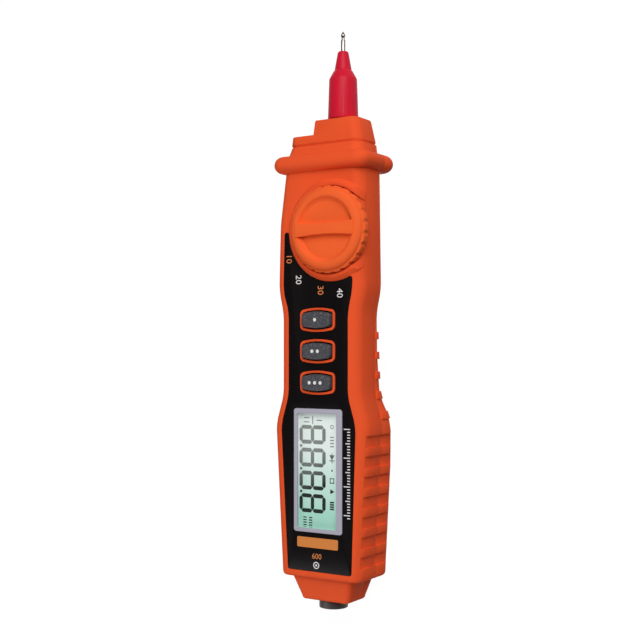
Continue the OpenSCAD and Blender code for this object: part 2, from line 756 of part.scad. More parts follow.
module rear_housing() {
    color(orange) difference() {
        union() {
            difference() {
                union() { outer_form(); back_ribs(); }
                cavity_form();
                above(parting_z - run_gap);
            }
            intersection() {
                door_prism(wall);
                difference() { body_form(door_t - sink); body_form(door_t + fit_gap + seat_t); }
            }
            at_bay()
                slab(bay_w + 2 * bay_wall, bay_len + 2 * bay_wall, door_t, bay_top_z + bay_wall - door_t);
            for (p = posts) translate([p[0], p[1], back_at(p[1]) + wall - sink])
                cylinder(d = post_d, h = parting_z - run_gap - back_at(p[1]) - wall + sink);
            translate([0, door_screw_y, door_t]) cylinder(d = post_d, h = door_post_top_z - door_t);
        }
        at_bay() slab(bay_w, bay_len, -reach, reach + bay_top_z);
        difference() {
            door_prism(door_gap);
            body_form(door_t + fit_gap);
        }
        side_grooves();
        for (p = posts) translate([p[0], p[1], -reach + seat_z(p[1])]) {
            cylinder(d = screw_head_d + 2 * run_gap, h = reach);
            cylinder(d = screw_d + 2 * run_gap, h = 2 * reach);
        }
        translate([0, door_screw_y, 0])
            cylinder(d = screw_d + 2 * run_gap, h = door_post_top_z + overrun);
        probe_bores();
        jack_bore();
    }
}

module battery_door() {
    color(orange) difference() {
        union() {
            intersection() {
                door_prism(0);
                difference() { body_form(); body_form(door_t); }
            }
            for (x = [-cell_d / 2, cell_d / 2])
                translate([x - bay_wall / 2, bay_y - bay_len / 4, door_t - sink])
                    cube([bay_wall, bay_len / 2, sink + cell_z - cell_d / 2 - door_t - fit_gap]);
        }
        translate([0, door_screw_y, -overrun]) cylinder(d = screw_d + 2 * run_gap, h = reach);
        translate([0, door_screw_y, -overrun])
            cylinder(d = screw_head_d + 2 * run_gap, h = overrun + screw_head_h + run_gap);
    }
}

// A cross-slotted screw: its head's outer face is at z = 0 and its shank points up
slot_w = 0.7;
slot_share = 0.65;
module screw(length) {
    slot_l = screw_head_d * slot_share;
    color(steel) difference() {
        union() {
            cylinder(d = screw_head_d, h = screw_head_h);
            cylinder(d = screw_d, h = screw_head_h + length);
        }
        for (a = [0, 90]) rotate(a)
            slab(slot_l, slot_w, -overrun, overrun + screw_head_h / 2);
    }
}
module battery_door_screw() {
    translate([0, door_screw_y, run_gap]) screw(door_post_top_z - screw_head_h - fit_gap);
}
module case_screws() {
    for (p = posts) translate([p[0], p[1], seat_z(p[1]) - screw_head_h]) screw(screw_len);
}

module front_panel() {
    color(black) translate([0, 0, front_z - panel_t]) linear_extrude(panel_t) difference() {
        panel_outline();
        key_places() key_collar_outline(panel_gap);
        bezel_outline(panel_gap);
    }
}

// Display
bezel_rise_z = 0.15;
module display_bezel() {
    color([0.68, 0.67, 0.72]) difference() {
        translate([0, 0, ledge_z]) linear_extrude(front_z + bezel_rise_z - ledge_z) bezel_outline();
        translate([view_x, view_y, 0]) plate(view_w, view_l, bezel_r / 2, 0, reach);
        translate([view_x, view_y, ledge_z - overrun])
            linear_extrude(overrun + window_t + run_gap)
                square([view_w + wall, view_l + wall / 2], center = true);
    }
}
module display_window() {
    color([0.85, 0.92, 0.88, 0.4]) translate([view_x, view_y, ledge_z + run_gap / 2])
        linear_extrude(window_t)
            square([view_w + wall - 2 * run_gap, view_l + wall / 2 - 2 * run_gap], center = true);
}
glass_w = view_w + wall - fit_gap * 2;
glass_l = view_l + wall / 2 - fit_gap * 2;
glass_top_z = ledge_z - fit_gap;
glass_z = glass_top_z - glass_t;
module lcd_glass() {
    color([0.74, 0.85, 0.78]) translate([view_x, view_y, 0]) slab(glass_w, glass_l, glass_z, glass_t);
}
strip_w = 1.4;
holder_wall = 0.9;
module lcd_holder() {
    color([0.9, 0.9, 0.88]) translate([view_x, view_y, 0]) difference() {
        slab(glass_w + 2 * holder_wall + fit_gap, glass_l + 2 * holder_wall + fit_gap, board_top_z,
            inner_front_z - run_gap - board_top_z);
        slab(glass_w + fit_gap, glass_l + fit_gap, board_top_z - overrun, reach);
    }
}
module backlight_plate() {
    color([0.93, 0.95, 0.94]) translate([view_x, view_y, 0])
        slab(glass_w - 2 * strip_w - 2 * fit_gap, glass_l - fit_gap, board_top_z + run_gap,
            glass_z - board_top_z - 2 * run_gap);
}
module zebra_strips() {
    color([0.2, 0.2, 0.22]) for (side = [-1, 1])
        translate([view_x + side * (glass_w - strip_w) / 2, view_y, 0])
            slab(strip_w, glass_l - 2 * strip_w, board_top_z, glass_z - board_top_z);
}

// Circuit board
board_margin = 0.6;
board_low_y = bay_y - bay_len / 2 - bay_wall;
board_high_y = neck_y + guard_t / 2;
board_run = concat([board_low_y], main_bends, [shoulder_y, board_high_y]);
module circuit_board() {
    color([0.10, 0.35, 0.20]) difference() {
        translate([0, 0, board_z]) linear_extrude(board_t) polygon(concat(
            [for (y = board_run) [half_w(y) - wall - board_margin, y]],
            [for (y = turned(board_run)) [wall + board_margin - softened(y, left_line), y]]
        ));
        for (p = posts) translate([p[0], p[1], board_z - overrun])
            cylinder(d = post_d + 2 * fit_gap, h = board_t + 2 * overrun);
        at_knob() translate([0, 0, board_z - overrun])
            cylinder(d = screw_head_d + 2 * fit_gap, h = board_t + 2 * overrun);
    }
}

// Keys
key_w = key_collar_w - 2 * key_collar_t - 2 * key_gap;
key_l = key_collar_l - 2 * key_collar_t - 2 * key_gap;
mat_t = 1;
mat_z = board_top_z + run_gap;
key_low_z = mat_z + mat_t + key_travel + fit_gap;
pill_h = 0.4;
key_crown = 0.8;
key_edge_r = key_r - key_collar_t;
module key_cap() {
    shoulder_z = front_z + key_rise - key_crown;
    function crown(a) = key_crown * (1 - cos(a));
    function ring_at(inwards, z) =
        [for (q = key_ring(key_w - 2 * inwards, key_l - 2 * inwards, key_edge_r - inwards / 2))
            [q[0], q[1], z]];
    color([0.29, 0.29, 0.31]) skin(concat(
        [ring_at(0, key_low_z)],
        [for (a = [0:22.5:90]) ring_at(crown(a), shoulder_z + key_crown * sin(a))]
    ));
}
module key_pill() {
    color([0.15, 0.15, 0.15]) translate([0, 0, key_low_z - pill_h])
        cylinder(d = key_l - 2 * fit_gap, h = pill_h);
}
module key_upper() { translate([0, key_y + key_pitch, 0]) key_cap(); }
module key_middle() { translate([0, key_y, 0]) key_cap(); }
module key_lower() { translate([0, key_y - key_pitch, 0]) key_cap(); }
module pill_upper() { translate([0, key_y + key_pitch, 0]) key_pill(); }
module pill_middle() { translate([0, key_y, 0]) key_pill(); }
module pill_lower() { translate([0, key_y - key_pitch, 0]) key_pill(); }

mat_margin = 1.6;
skirt_t = 0.5;
module keypad_mat() {
    color([0.32, 0.32, 0.34]) difference() {
        union() {
            translate([0, key_y, 0])
                slab(key_collar_w + mat_margin, 2 * key_pitch + key_collar_l + mat_margin, mat_z, mat_t);
            translate([0, 0, mat_z]) linear_extrude(mat_t + key_travel + fit_gap)
                key_places() key_hole_outline(fit_gap + skirt_t - key_gap);
        }
        translate([0, 0, mat_z - overrun]) linear_extrude(reach)
            key_places() key_hole_outline(fit_gap - key_gap);
        for (p = posts) translate([p[0], p[1], mat_z - overrun])
            cylinder(d = post_d + 2 * fit_gap, h = reach);
    }
}

// Selector knob and the rotary switch under it
drive_w = 5;
flute_r = 1.2;
knob_low_z = front_z + fit_gap;
wheel_top_z = knob_low_z + wheel_h;
crest_z = front_z + knob_h;
rim_z = crest_z - bar_rise;
crest_r = knob_crest_d / 2;
rim_r = (crest_r + dish_d / 2) / 2;
rim_in = rim_r - dish_d / 2;
rim_out = knob_d / 2 - 2 * flute_d - rim_r;
rim_rise = rim_z - wheel_top_z;
dish_z = crest_z - dish_depth;
dish_fillet = 0.5;
module selector_knob() {
    color(orange) at_knob() difference() {
        union() {
            rotate_extrude($fn = 96) polygon(concat(
                [[0, knob_low_z], [knob_d / 2, knob_low_z], [knob_d / 2, wheel_top_z - flute_d],
                [knob_d / 2 - flute_d, wheel_top_z]],
                [for (a = [0:15:90]) [rim_r + rim_out * cos(a), rim_z - rim_rise * (1 - sin(a))]],
                [for (a = [105:15:150]) [rim_r + rim_in * cos(a), rim_z - rim_rise * (1 - sin(a))]],
                [[dish_d / 2, dish_z + dish_fillet], [dish_d / 2 - dish_fillet, dish_z], [0, dish_z]]
            ));
            intersection() {
                translate([0, 0, dish_z - sink]) linear_extrude(crest_z - dish_z + sink) bar_outline();
                cylinder(r = rim_r, h = crest_z, $fn = 96);
            }
            translate([0, 0, rotor_top_z]) cylinder(d = knob_stem_d, h = knob_low_z - rotor_top_z + sink);
            slab(drive_w, drive_w, rotor_low_z + seat_t, rotor_top_z - rotor_low_z);
        }
        for (i = [0:flutes - 1]) rotate((i + 0.5) * 360 / flutes)
            translate([knob_d / 2 + flute_r - flute_d, 0, knob_low_z - overrun])
                cylinder(r = flute_r, h = wheel_h + overrun, $fn = 24);
        translate([0, 0, rotor_low_z]) cylinder(d = screw_d + 2 * run_gap, h = screw_len + seat_t);
    }
}
// The grip bar is waisted: wide at its ends and narrow at its middle
module bar_outline() {
    steps = 6;
    points = [
        for (i = [-steps:steps])
            [crest_r * i / steps, between(bar_waist_w, bar_end_w, pow(i / steps, 2)) / 2]
    ];
    polygon(concat(points, turned([for (p = points) [p[0], -p[1]]])));
}
module switch_rotor() {
    color([0.92, 0.92, 0.9]) at_knob() difference() {
        translate([0, 0, rotor_low_z]) cylinder(d = rotor_d, h = rotor_top_z - rotor_low_z);
        slab(drive_w + 2 * run_gap, drive_w + 2 * run_gap, rotor_low_z + seat_t, reach);
        translate([0, 0, rotor_low_z - overrun]) cylinder(d = screw_d + 2 * run_gap, h = reach);
        for (half = [0, 180]) rotate(half) translate([drive_w, 0, rotor_z]) rotate([0, 90, 0])
            cylinder(d = ball_d + 2 * run_gap, h = rotor_d);
    }
}
module detent_balls() {
    color(steel) at_knob() for (half = [0, 180]) rotate(half)
        translate([ball_at, 0, rotor_z]) sphere(d = ball_d, $fn = 72);
}

// A coil of round wire about Z, from z = 0 up
wire_sides = 6;
turn_steps = 8;
function coil_point(r_low, r_high, rise, turns, t) =
    let (r = between(r_low, r_high, t), a = 360 * turns * t) [r * cos(a), r * sin(a), rise * t];
function coil_ring(r_low, r_high, rise, turns, wire_r, t) =
    let (c = coil_point(r_low, r_high, rise, turns, t), out = 360 * turns * t)
    [for (k = [0:wire_sides - 1])
        c + wire_r * cos(360 * k / wire_sides) * [cos(out), sin(out), 0]
          + [0, 0, wire_r * sin(360 * k / wire_sides)]];
module coil(r_low, r_high, rise, turns, wire_r) {
    steps = round(turns * turn_steps);
    skin([for (j = [0:steps]) coil_ring(r_low, r_high, rise, turns, wire_r, j / steps)]);
}
detent_wire_r = 0.12;
detent_turns = 3;
detent_low_share = 0.33;    // radius of a detent spring at its foot, over the ball's diameter
detent_high_share = 0.25;   // and under the ball
module detent_springs() {
    low = drive_w + detent_wire_r + run_gap;
    high = ball_at - ball_d / 2 - detent_wire_r;
    color(steel) at_knob() for (half = [0, 180]) rotate(half) translate([low, 0, rotor_z])
        rotate([0, 90, 0])
            coil(ball_d * detent_low_share, ball_d * detent_high_share, high - low, detent_turns,
                detent_wire_r);
}
wiper_w = 1.4;
wiper_t = 0.2;
wiper_in_x = 3.6;
wiper_l = 4.5;
module rotor_wipers() {
    color(brass) at_knob() for (a = [60, 180, 300]) rotate(a) {
        translate([wiper_in_x, -wiper_w / 2, rotor_low_z - wiper_t]) cube([wiper_l, wiper_w, wiper_t]);
        translate([wiper_in_x + wiper_l - wiper_t, -wiper_w / 2, board_top_z + run_gap])
            cube([wiper_t, wiper_w, rotor_low_z - board_top_z - run_gap]);
    }
}
module knob_screw() {
    at_knob() translate([0, 0, rotor_low_z - screw_head_h]) screw(screw_len - seat_t);
}

// Probe
sleeve_y = nose_y + sleeve_lift;
sleeve_flat = 0.35;
sleeve_len = sleeve_straight_len + sleeve_shoulder_len + cone_len;
module probe_sleeve() {
    bore_r = needle_root_d / 2 + run_gap / 2;
    shoulder_y = sleeve_straight_len + sleeve_shoulder_len;
    half = sleeve_flat / 2;
    color(red) along_y(probe_x, probe_z, sleeve_y) rotate_extrude($fn = 96) polygon([
        [bore_r, -stem_len], [stem_d / 2, -stem_len], [stem_d / 2, 0], [sleeve_foot_d / 2, 0],
        [sleeve_top_d / 2 + half, sleeve_straight_len - sleeve_flat],
        [sleeve_top_d / 2 - half, sleeve_straight_len + sleeve_flat],
        [cone_foot_d / 2 + sleeve_flat, shoulder_y - sleeve_flat], [cone_foot_d / 2, shoulder_y],
        [cone_top_d / 2 + half, sleeve_len - sleeve_flat], [cone_top_d / 2 - half, sleeve_len],
        [bore_r, sleeve_len]
    ]);
}
needle_tail_y = neck_y + guard_t;
needle_tip_y = sleeve_y + sleeve_len + needle_bare_len;
module probe_needle() {
    root_len = sleeve_y + sleeve_len - needle_tail_y;
    length = needle_tip_y - needle_tail_y;
    bead_y = length - point_len;
    neck_y = bead_y - bead_len;
    bend_len = bead_len / 4;
    color(steel) along_y(probe_x, probe_z, needle_tail_y) rotate_extrude($fn = 72) polygon([
        [0, 0], [needle_root_d / 2, 0], [needle_root_d / 2, root_len], [needle_d / 2, root_len],
        [needle_d / 2, neck_y], [needle_neck_d / 2, neck_y + bend_len],
        [needle_neck_d / 2, bead_y - 2 * bend_len], [needle_d / 2, bead_y - bend_len],
        [needle_d / 2, bead_y], [needle_d / 4, bead_y + point_len / 2], [0, length]
    ]);
}
clip_t = 0.4;
clip_l = 2.5;       // length of the contact strip on the board
module probe_contact() {
    low_y = board_high_y - clip_l;
    high_y = needle_tail_y - run_gap;
    low_z = probe_z - needle_root_d / 2;
    color(brass) translate([probe_x - needle_root_d, 0, 0]) {
        translate([0, low_y, board_top_z]) cube([2 * needle_root_d, high_y - low_y, clip_t]);
        translate([0, high_y - clip_t, low_z])
            cube([2 * needle_root_d, clip_t, board_top_z + clip_t - low_z]);
    }
}
antenna_w = 6;
antenna_l = 5;
module ncv_antenna() {
    color([0.78, 0.45, 0.28]) translate([-antenna_w, neck_y + guard_t - fit_gap - antenna_l, board_top_z])
        cube([antenna_w, antenna_l, clip_t]);
}

// Parts under the board
buzzer_d = 12;
buzzer_x = -7.3;
module buzzer() {
    low_z = chest_back_z + wall + fit_gap;
    color(black) translate([buzzer_x, chest_y + buzzer_d / 2, low_z]) difference() {
        cylinder(d = buzzer_d, h = board_z - low_z);
        translate([0, 0, -overrun]) cylinder(d = screw_d, h = overrun + seat_t);
    }
}
chip_w = 10;
chip_t = 1.6;
module main_chip() {
    color([0.12, 0.12, 0.13]) translate([0, key_y, 0]) slab(chip_w, chip_w, board_z - chip_t, chip_t);
}
disc_d = 5.4;
disc_t = 3;
disc_x = 6.6;
module thermistor() {
    color([0.85, 0.55, 0.15]) translate([disc_x, waist_high_y + disc_d / 2, board_z - disc_d])
        rotate([90, 0, 0]) translate([0, disc_d / 2, 0]) cylinder(d = disc_d, h = disc_t);
}
part_w = 1.6;
part_l = 3.2;
part_t = 0.8;
module board_parts() {
    color([0.25, 0.25, 0.27]) for (i = [0:3], side = [-1, 1])
        translate([side * (key_collar_w / 2 + mat_margin + part_w), waist_high_y - 2 * i * part_l, 0])
            slab(part_w, part_l, board_top_z, part_t);
}

// Socket for the test lead
tab_t = 0.3;
tab_w = 2;
contact_drop = 2.5;     // the contact's end lies this far inside the mouth
contact_len = mouth_depth - contact_drop;
module com_jack() {
    color([0.06, 0.06, 0.06]) along_y(0, axis_z, tail_y - jack_out) difference() {
        cylinder(d = jack_d, h = jack_len);
        translate([0, 0, -overrun]) cylinder(d = mouth_d, h = mouth_depth + overrun);
        cylinder(d = contact_d + 2 * run_gap, h = 2 * jack_len);
    }
}
module com_contact() {
    color(brass) {
        along_y(0, axis_z, tail_y - jack_out) difference() {
            translate([0, 0, contact_drop])
                cylinder(d = contact_d, h = jack_len + run_gap - contact_drop);
            translate([0, 0, contact_drop - overrun])
                cylinder(d = contact_bore_d, h = contact_len + overrun);
        }
        translate([-tab_w / 2, tail_y - jack_out + jack_len + run_gap, axis_z])
            cube([tab_w, tab_t, board_top_z - axis_z]);
    }
}

// Battery cells: a can with its button at the end that dir points to
button_d = 3.8;
button_h = 1;
contact_t = 0.4;
module cell(x, dir) {
    color([0.16, 0.17, 0.18]) translate([x, bay_y, cell_z]) rotate([-90 * dir, 0, 0])
        translate([0, 0, bay_len / 2 - contact_t - run_gap - cell_len]) {
            cylinder(d = cell_d, h = cell_len - button_h);
            cylinder(d = button_d, h = cell_len);
        }
}
cell_x = (cell_d + fit_gap) / 2;
module battery_left() { cell(-cell_x, 1); }
module battery_right() { cell(cell_x, -1); }

// Contacts: flat plates on the bay's end walls, with a coil under each cell's flat end
spring_wire_r = 0.25;
spring_turns = 1.5;
spring_low_r = 3.5;
spring_high_r = 2.1;
contact_h = 7;
coil_rise = contact_room - 2 * contact_t - run_gap - 2 * spring_wire_r;
module contact_coil(x, y, dir) {
    translate([x, y, cell_z]) rotate([-90 * dir, 0, 0])
        coil(spring_low_r, spring_high_r, coil_rise, spring_turns, spring_wire_r);
}
module battery_link() {
    end_y = bay_y + bay_len / 2;
    color(steel) {
        translate([0, end_y - contact_t / 2, 0])
            slab(bay_w - 2 * fit_gap, contact_t, cell_z - contact_h / 2, contact_h);
        contact_coil(cell_x, end_y - contact_t - spring_wire_r + run_gap, -1);
    }
}
module battery_contacts() {
    end_y = bay_y - bay_len / 2;
    color(steel) {
        for (x = [-cell_x, cell_x]) translate([x, end_y + contact_t / 2, 0])
            slab(cell_d - 2 * fit_gap, contact_t, cell_z - contact_h / 2, contact_h);
        contact_coil(-cell_x, end_y + contact_t + spring_wire_r - run_gap, 1);
    }
}

front_housing();
rear_housing();
battery_door();
battery_door_screw();
case_screws();
front_panel();
display_bezel();
display_window();
lcd_glass();
lcd_holder();
backlight_plate();
zebra_strips();
circuit_board();
key_upper();
key_middle();
key_lower();
pill_upper();
pill_middle();
pill_lower();
keypad_mat();
selector_knob();
switch_rotor();
rotor_wipers();
knob_screw();
detent_springs();
detent_balls();
probe_sleeve();
probe_needle();
probe_contact();
ncv_antenna();
buzzer();
main_chip();
thermistor();
board_parts();
com_jack();
com_contact();
battery_left();
battery_right();
battery_link();
battery_contacts();
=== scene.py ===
"""Looks of a pen meter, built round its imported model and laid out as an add-on."""

import json
from math import cos, pi, radians, sin

import bmesh
import bpy
from mathutils import Matrix, Vector


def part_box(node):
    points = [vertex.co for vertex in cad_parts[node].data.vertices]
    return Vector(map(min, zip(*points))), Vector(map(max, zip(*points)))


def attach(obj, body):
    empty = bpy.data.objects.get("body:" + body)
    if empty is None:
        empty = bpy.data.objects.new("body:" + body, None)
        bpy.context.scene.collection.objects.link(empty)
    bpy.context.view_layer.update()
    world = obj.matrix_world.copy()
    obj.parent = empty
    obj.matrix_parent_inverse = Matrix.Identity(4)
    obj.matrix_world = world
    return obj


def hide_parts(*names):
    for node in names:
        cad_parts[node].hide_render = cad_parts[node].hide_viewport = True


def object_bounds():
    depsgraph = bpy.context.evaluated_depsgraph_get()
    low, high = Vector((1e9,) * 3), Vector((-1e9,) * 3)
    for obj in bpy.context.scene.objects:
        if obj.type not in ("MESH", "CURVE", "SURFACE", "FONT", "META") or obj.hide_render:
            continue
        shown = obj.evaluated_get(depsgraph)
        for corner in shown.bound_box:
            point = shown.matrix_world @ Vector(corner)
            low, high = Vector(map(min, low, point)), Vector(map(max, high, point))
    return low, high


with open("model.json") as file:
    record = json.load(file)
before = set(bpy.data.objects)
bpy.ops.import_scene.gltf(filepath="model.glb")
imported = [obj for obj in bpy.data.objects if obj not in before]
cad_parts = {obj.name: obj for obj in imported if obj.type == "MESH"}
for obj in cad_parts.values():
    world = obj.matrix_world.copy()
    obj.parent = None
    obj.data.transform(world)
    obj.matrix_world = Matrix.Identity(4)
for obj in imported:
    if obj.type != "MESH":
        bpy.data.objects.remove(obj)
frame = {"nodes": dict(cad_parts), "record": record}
CAD_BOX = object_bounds()

bl_info = {
    "name": "Pen meter looks",
    "version": (1, 0, 0),
    "blender": (4, 5, 0),
    "location": "View3D > Sidebar > Pen meter",
    "description": "Dresses the packed pen meter in its plastics, prints, display and metals",
    "category": "Object",
}

MM = 0.001
MERGE = 0.0005 * MM    # corners nearer than this are one
SINK = 0.01 * MM       # how far a mark reaches into the surface under it
LOW_Y = CAD_BOX[0].y   # the socket's end, from which places along the meter are counted


def up(distance):
    """The Y of a place that many millimetres above the socket's end."""
    return LOW_Y + distance * MM


def tint(red, green, blue):
    """A screen colour, 0 to 255 each, as the linear colour that a shader takes."""
    shares = [channel / 255 for channel in (red, green, blue)]
    return tuple(s / 12.92 if s <= 0.04045 else ((s + 0.055) / 1.055) ** 2.4 for s in shares)


def scaled(colour, share):
    """A colour made darker or lighter, with its hue kept."""
    return tuple(min(1.0, channel * share) for channel in colour)


# Colours of the pieces inside and of the smaller ones
WHITE = (0.82, 0.82, 0.8)
ROTOR_WHITE = (0.8, 0.8, 0.77)
CARBON = (0.02, 0.02, 0.02)
STRIP_GREY = tint(60, 60, 64)
MAT_GREY = tint(70, 70, 74)
SOCKET_BLACK = tint(72, 62, 62)
PART_BLACK = tint(30, 30, 32)
PART_BEIGE = tint(190, 170, 140)
THERMISTOR_BLUE = tint(60, 110, 150)
BRASS = tint(214, 176, 96)
COPPER = tint(206, 128, 86)
SOCKET_NICKEL = tint(200, 196, 188)
SWITCH_STEEL = tint(196, 198, 200)
CONTACT_STEEL = tint(200, 202, 205)
SCREW_STEEL = tint(180, 182, 186)
WRAP_LINE = (0.8, 0.8, 0.78)

# Widths of the rounded edges, in millimetres
EDGES = {
    "panel": 0.05, "bezel": 0.3, "key": 0.1, "sleeve": 0.12, "jack": 0.2, "cell": 0.3,
    "screw": 0.08,
}

# Marks on the front, in millimetres: x from the meter's middle, y above the socket's end
DIAL_MARKS = (
    ("10", -12.3, 125.4, "warm"), ("20", -8.2, 117.8, "light"),
    ("30", 1.1, 113.8, "warm"), ("40", 9.1, 112.6, "light"),
)
NUMBER, NUMBER_PLACE, NUMBER_HEIGHT = "600", (-0.4, 19.6), 1.9    # a plain number under the badge
SCALE_EDGE, SCALE_TOP = 13.4, 65.1  # where the ticks end on the right, and the first one's y
SCALE_TICKS, TICK_WIDTH = 32, 0.36
TICK_LENGTHS = {"tenth": 2.6, "fifth": 1.9, "other": 1.2}
SOCKET_PLACE = (-0.6, 16.5)         # middle of the mark over the socket, a dot in a ring
SOCKET_RING, SOCKET_BORE, SOCKET_DOT = 1.25, 0.9, 0.4
BADGE = (-0.1, 24.4, 17.1, 3.65)    # x, y, width, length
BADGE_RISE, BADGE_CORNER = 0.05, 0.5

# Display, in the same millimetres
DIGIT_COUNT, DIGIT_X, DIGIT_TOP, SEGMENT_GAP = 4, -8.95, 65.9, 0.1
POINT_RADIUS, POINT_DROP = 0.5, 0.75
TINT_INSETS = (5, 12)               # from the glass's lower and upper end, where its tint settles
FADE_Y, FADE_X = (40, 57), (-9, 2)  # where the segments fade along and across the display
SIGN_X = 4.8                        # the column of signs beside the digits
SIGN_RISE = 0.03                    # how far digits and signs stand proud of the glass
SIGN_BARS = (                       # x, y, width, length
    (-5.9, 68.5, 2.2, 0.35), (-5.9, 67, 2.2, 0.35),
    (-3.3, 67.7, 0.35, 2.9), (-0.5, 67.7, 2.2, 0.35),
    *((SIGN_X, y, 1.5, 0.4) for y in (61.9, 60.8, 59.7, 58.6)),
    (SIGN_X, 53.6, 2.2, 0.3), (SIGN_X, 54.5, 0.3, 3.6),
    (SIGN_X, 47.3, 1.8, 0.3), (SIGN_X, 45.7, 1.8, 0.3),
    (SIGN_X - 0.75, 46.5, 0.3, 1.6), (SIGN_X + 0.75, 46.5, 0.3, 1.6),
    *((SIGN_X, y, 1.7, 0.55) for y in (38.9, 38.1, 37.3, 36.5)),
    *((x, 32.9 - 0.9 * k, 1.4, 0.4) for x in (-6.6, -4.2) for k in range(5)),
)
SIGN_TRIANGLES = (                  # corners, x from the column of signs
    ((1.1, 55.6), (-1.1, 55.6), (0, 53.8)), ((1, 42.7), (-0.7, 43.6), (-0.7, 41.8)),
)
SIGN_RING = (65.5, 0.75, 0.5)       # y, radius, inner radius
SIGN_DOT = (50.1, 0.35)             # y, radius

# Dots on the keys: the distance between them, how deep they reach and how far they stand proud
DOT_PITCH, DOT_DEPTH, DOT_RISE = 2.3 * MM, 0.05 * MM, 0.02 * MM
KEY_SPECK_LIGHT = 3.4               # how many times lighter the specks are than the keys

# The photo's camera in pixels: side of the picture, focal length, where the axis meets the picture
PHOTO_SIDE, PHOTO_FOCAL, PHOTO_AXIS = 640, 1096, (333.7, 348)
FILM = 36                           # width of the camera's sensor, in millimetres
NEAREST = 0.01                      # metres, what the camera sees from
AIM_Y, LIT_Y, FRONT_Z = 93.4, 135, 11.7
KEY_DISTANCE, KEY_SIZE = 0.9, 0.7   # metres
FILL_OFFSET, FILL_SIZE = Vector((-0.45, -0.8, 0.45)), 0.6
FLOOR_REACH = 4                     # metres from the middle to each side of the floor
FLOOR_GLOW, GLOW_SHARE = 1.2, 0.8   # the glow's strength, and how much of it the camera sees
MIRROR_SHARE = 0.7                  # how much of that a reflection sees


# Settings


def colour_setting(name, description, default):
    """A colour, given as linear shares."""
    return bpy.props.FloatVectorProperty(
        name=name, description=description, default=default, subtype="COLOR", size=3, min=0, max=1
    )


def length_setting(name, description, default):
    """A length, given in millimetres and kept in metres."""
    return bpy.props.FloatProperty(
        name=name, description=description, default=default * MM, unit="LENGTH", subtype="DISTANCE",
        precision=5,
    )


def angle_setting(name, description, default):
    """An angle, given in degrees and kept in radians."""
    return bpy.props.FloatProperty(
        name=name, description=description, default=radians(default), unit="ROTATION",
        subtype="ANGLE",
    )


def power_setting(name, description, default, unit="NONE"):
    """A power or strength, which can't be less than 0."""
    return bpy.props.FloatProperty(
        name=name, description=description, default=default, min=0, unit=unit
    )


def share_setting(name, description, default):
    """A share from 0 to 1."""
    return bpy.props.FloatProperty(
        name=name, description=description, default=default, min=0, max=1, subtype="FACTOR"
    )


class ShellLook(bpy.types.PropertyGroup):
    colour: colour_setting("Colour", "Colour of the moulded housings", tint(236, 88, 46))
    # Painted light: the knob's colour is the housings' orange made lighter, so that the knob looks
    # more brightly lit.
    knob: colour_setting("Knob", "Colour of the moulded knob", tint(243, 102, 50))
    roughness: share_setting("Roughness", "How matt the housings are", 0.42)
    grain: length_setting("Grain", "Size of the moulded texture", 0.28)
    grain_depth: length_setting("Grain depth", "Depth of the moulded texture", 0.006)
    edge: length_setting("Edge", "Width of the rounded edges", 0.18)
    knob_edge: length_setting("Knob edge", "Width of the rounded edges of the knob", 0.15)


class PanelLook(bpy.types.PropertyGroup):
    film: colour_setting("Film", "Colour of the front panel", tint(13, 9, 10))
    print_light: colour_setting("Light print", "Colour of the light marks", tint(232, 230, 228))
    print_warm: colour_setting("Warm print", "Colour of the warm marks", tint(226, 132, 74))
    badge: colour_setting("Badge", "Colour of the bare badge", tint(215, 130, 58))
    print_rise: length_setting("Print thickness", "How far the marks stand proud", 0.02)
    mark_height: length_setting("Mark height", "Height of the numbers on the dial", 2.4)


class DisplayLook(bpy.types.PropertyGroup):
    high: colour_setting("Upper tint", "Tint of the display's upper end", tint(232, 242, 238))
    low: colour_setting("Lower tint", "Tint of the display's lower end", tint(165, 218, 200))
    faint: colour_setting("Faint segments", "Colour of the upper segments", tint(150, 156, 152))
    dark: colour_setting("Dark segments", "Colour of the lower segments", tint(5, 8, 8))
    frame_colour: colour_setting("Frame", "Colour of the display's frame", tint(176, 173, 187))
    digit_width: length_setting("Digit width", "Width of one digit", 6.7)
    digit_height: length_setting("Digit height", "Height of one digit", 11.1)
    digit_pitch: length_setting("Digit pitch", "Distance from one digit to the next", 8.17)
    stroke: length_setting("Stroke", "Width of a segment", 1.4)
    border: length_setting("Border", "Width of the pale border printed on the window", 0.55)


class KeyLook(bpy.types.PropertyGroup):
    colour: colour_setting("Colour", "Colour of the rubber keys", tint(74, 74, 80))
    speck: length_setting("Speck", "Size of the specks in the rubber", 0.5)
    mark: length_setting("Mark", "Width of the mark printed on a key", 1.25)


class ProbeLook(bpy.types.PropertyGroup):
    sleeve: colour_setting("Sleeve", "Colour of the probe's sleeve", tint(206, 28, 52))
    plating: colour_setting("Plating", "Colour of the needle's plating", tint(172, 166, 160))
    shaft: length_setting("Shaft", "Radius of the bare needle", 0.8)
    neck: length_setting("Neck", "Radius of the needle's neck, behind its bead", 0.55)
    bead: length_setting("Bead", "Length of the needle's bead with its neck", 1.9)
    point: length_setting("Point", "Length of the needle's point, from the bead", 1.4)


class InsideLook(bpy.types.PropertyGroup):
    board: colour_setting("Board", "Colour of the circuit board", tint(22, 92, 52))
    wrap: colour_setting("Cell wrap", "Colour of the cells' wrap", tint(40, 44, 50))
    wrap_band: colour_setting("Wrap band", "Colour of the band on the wrap", tint(186, 110, 62))


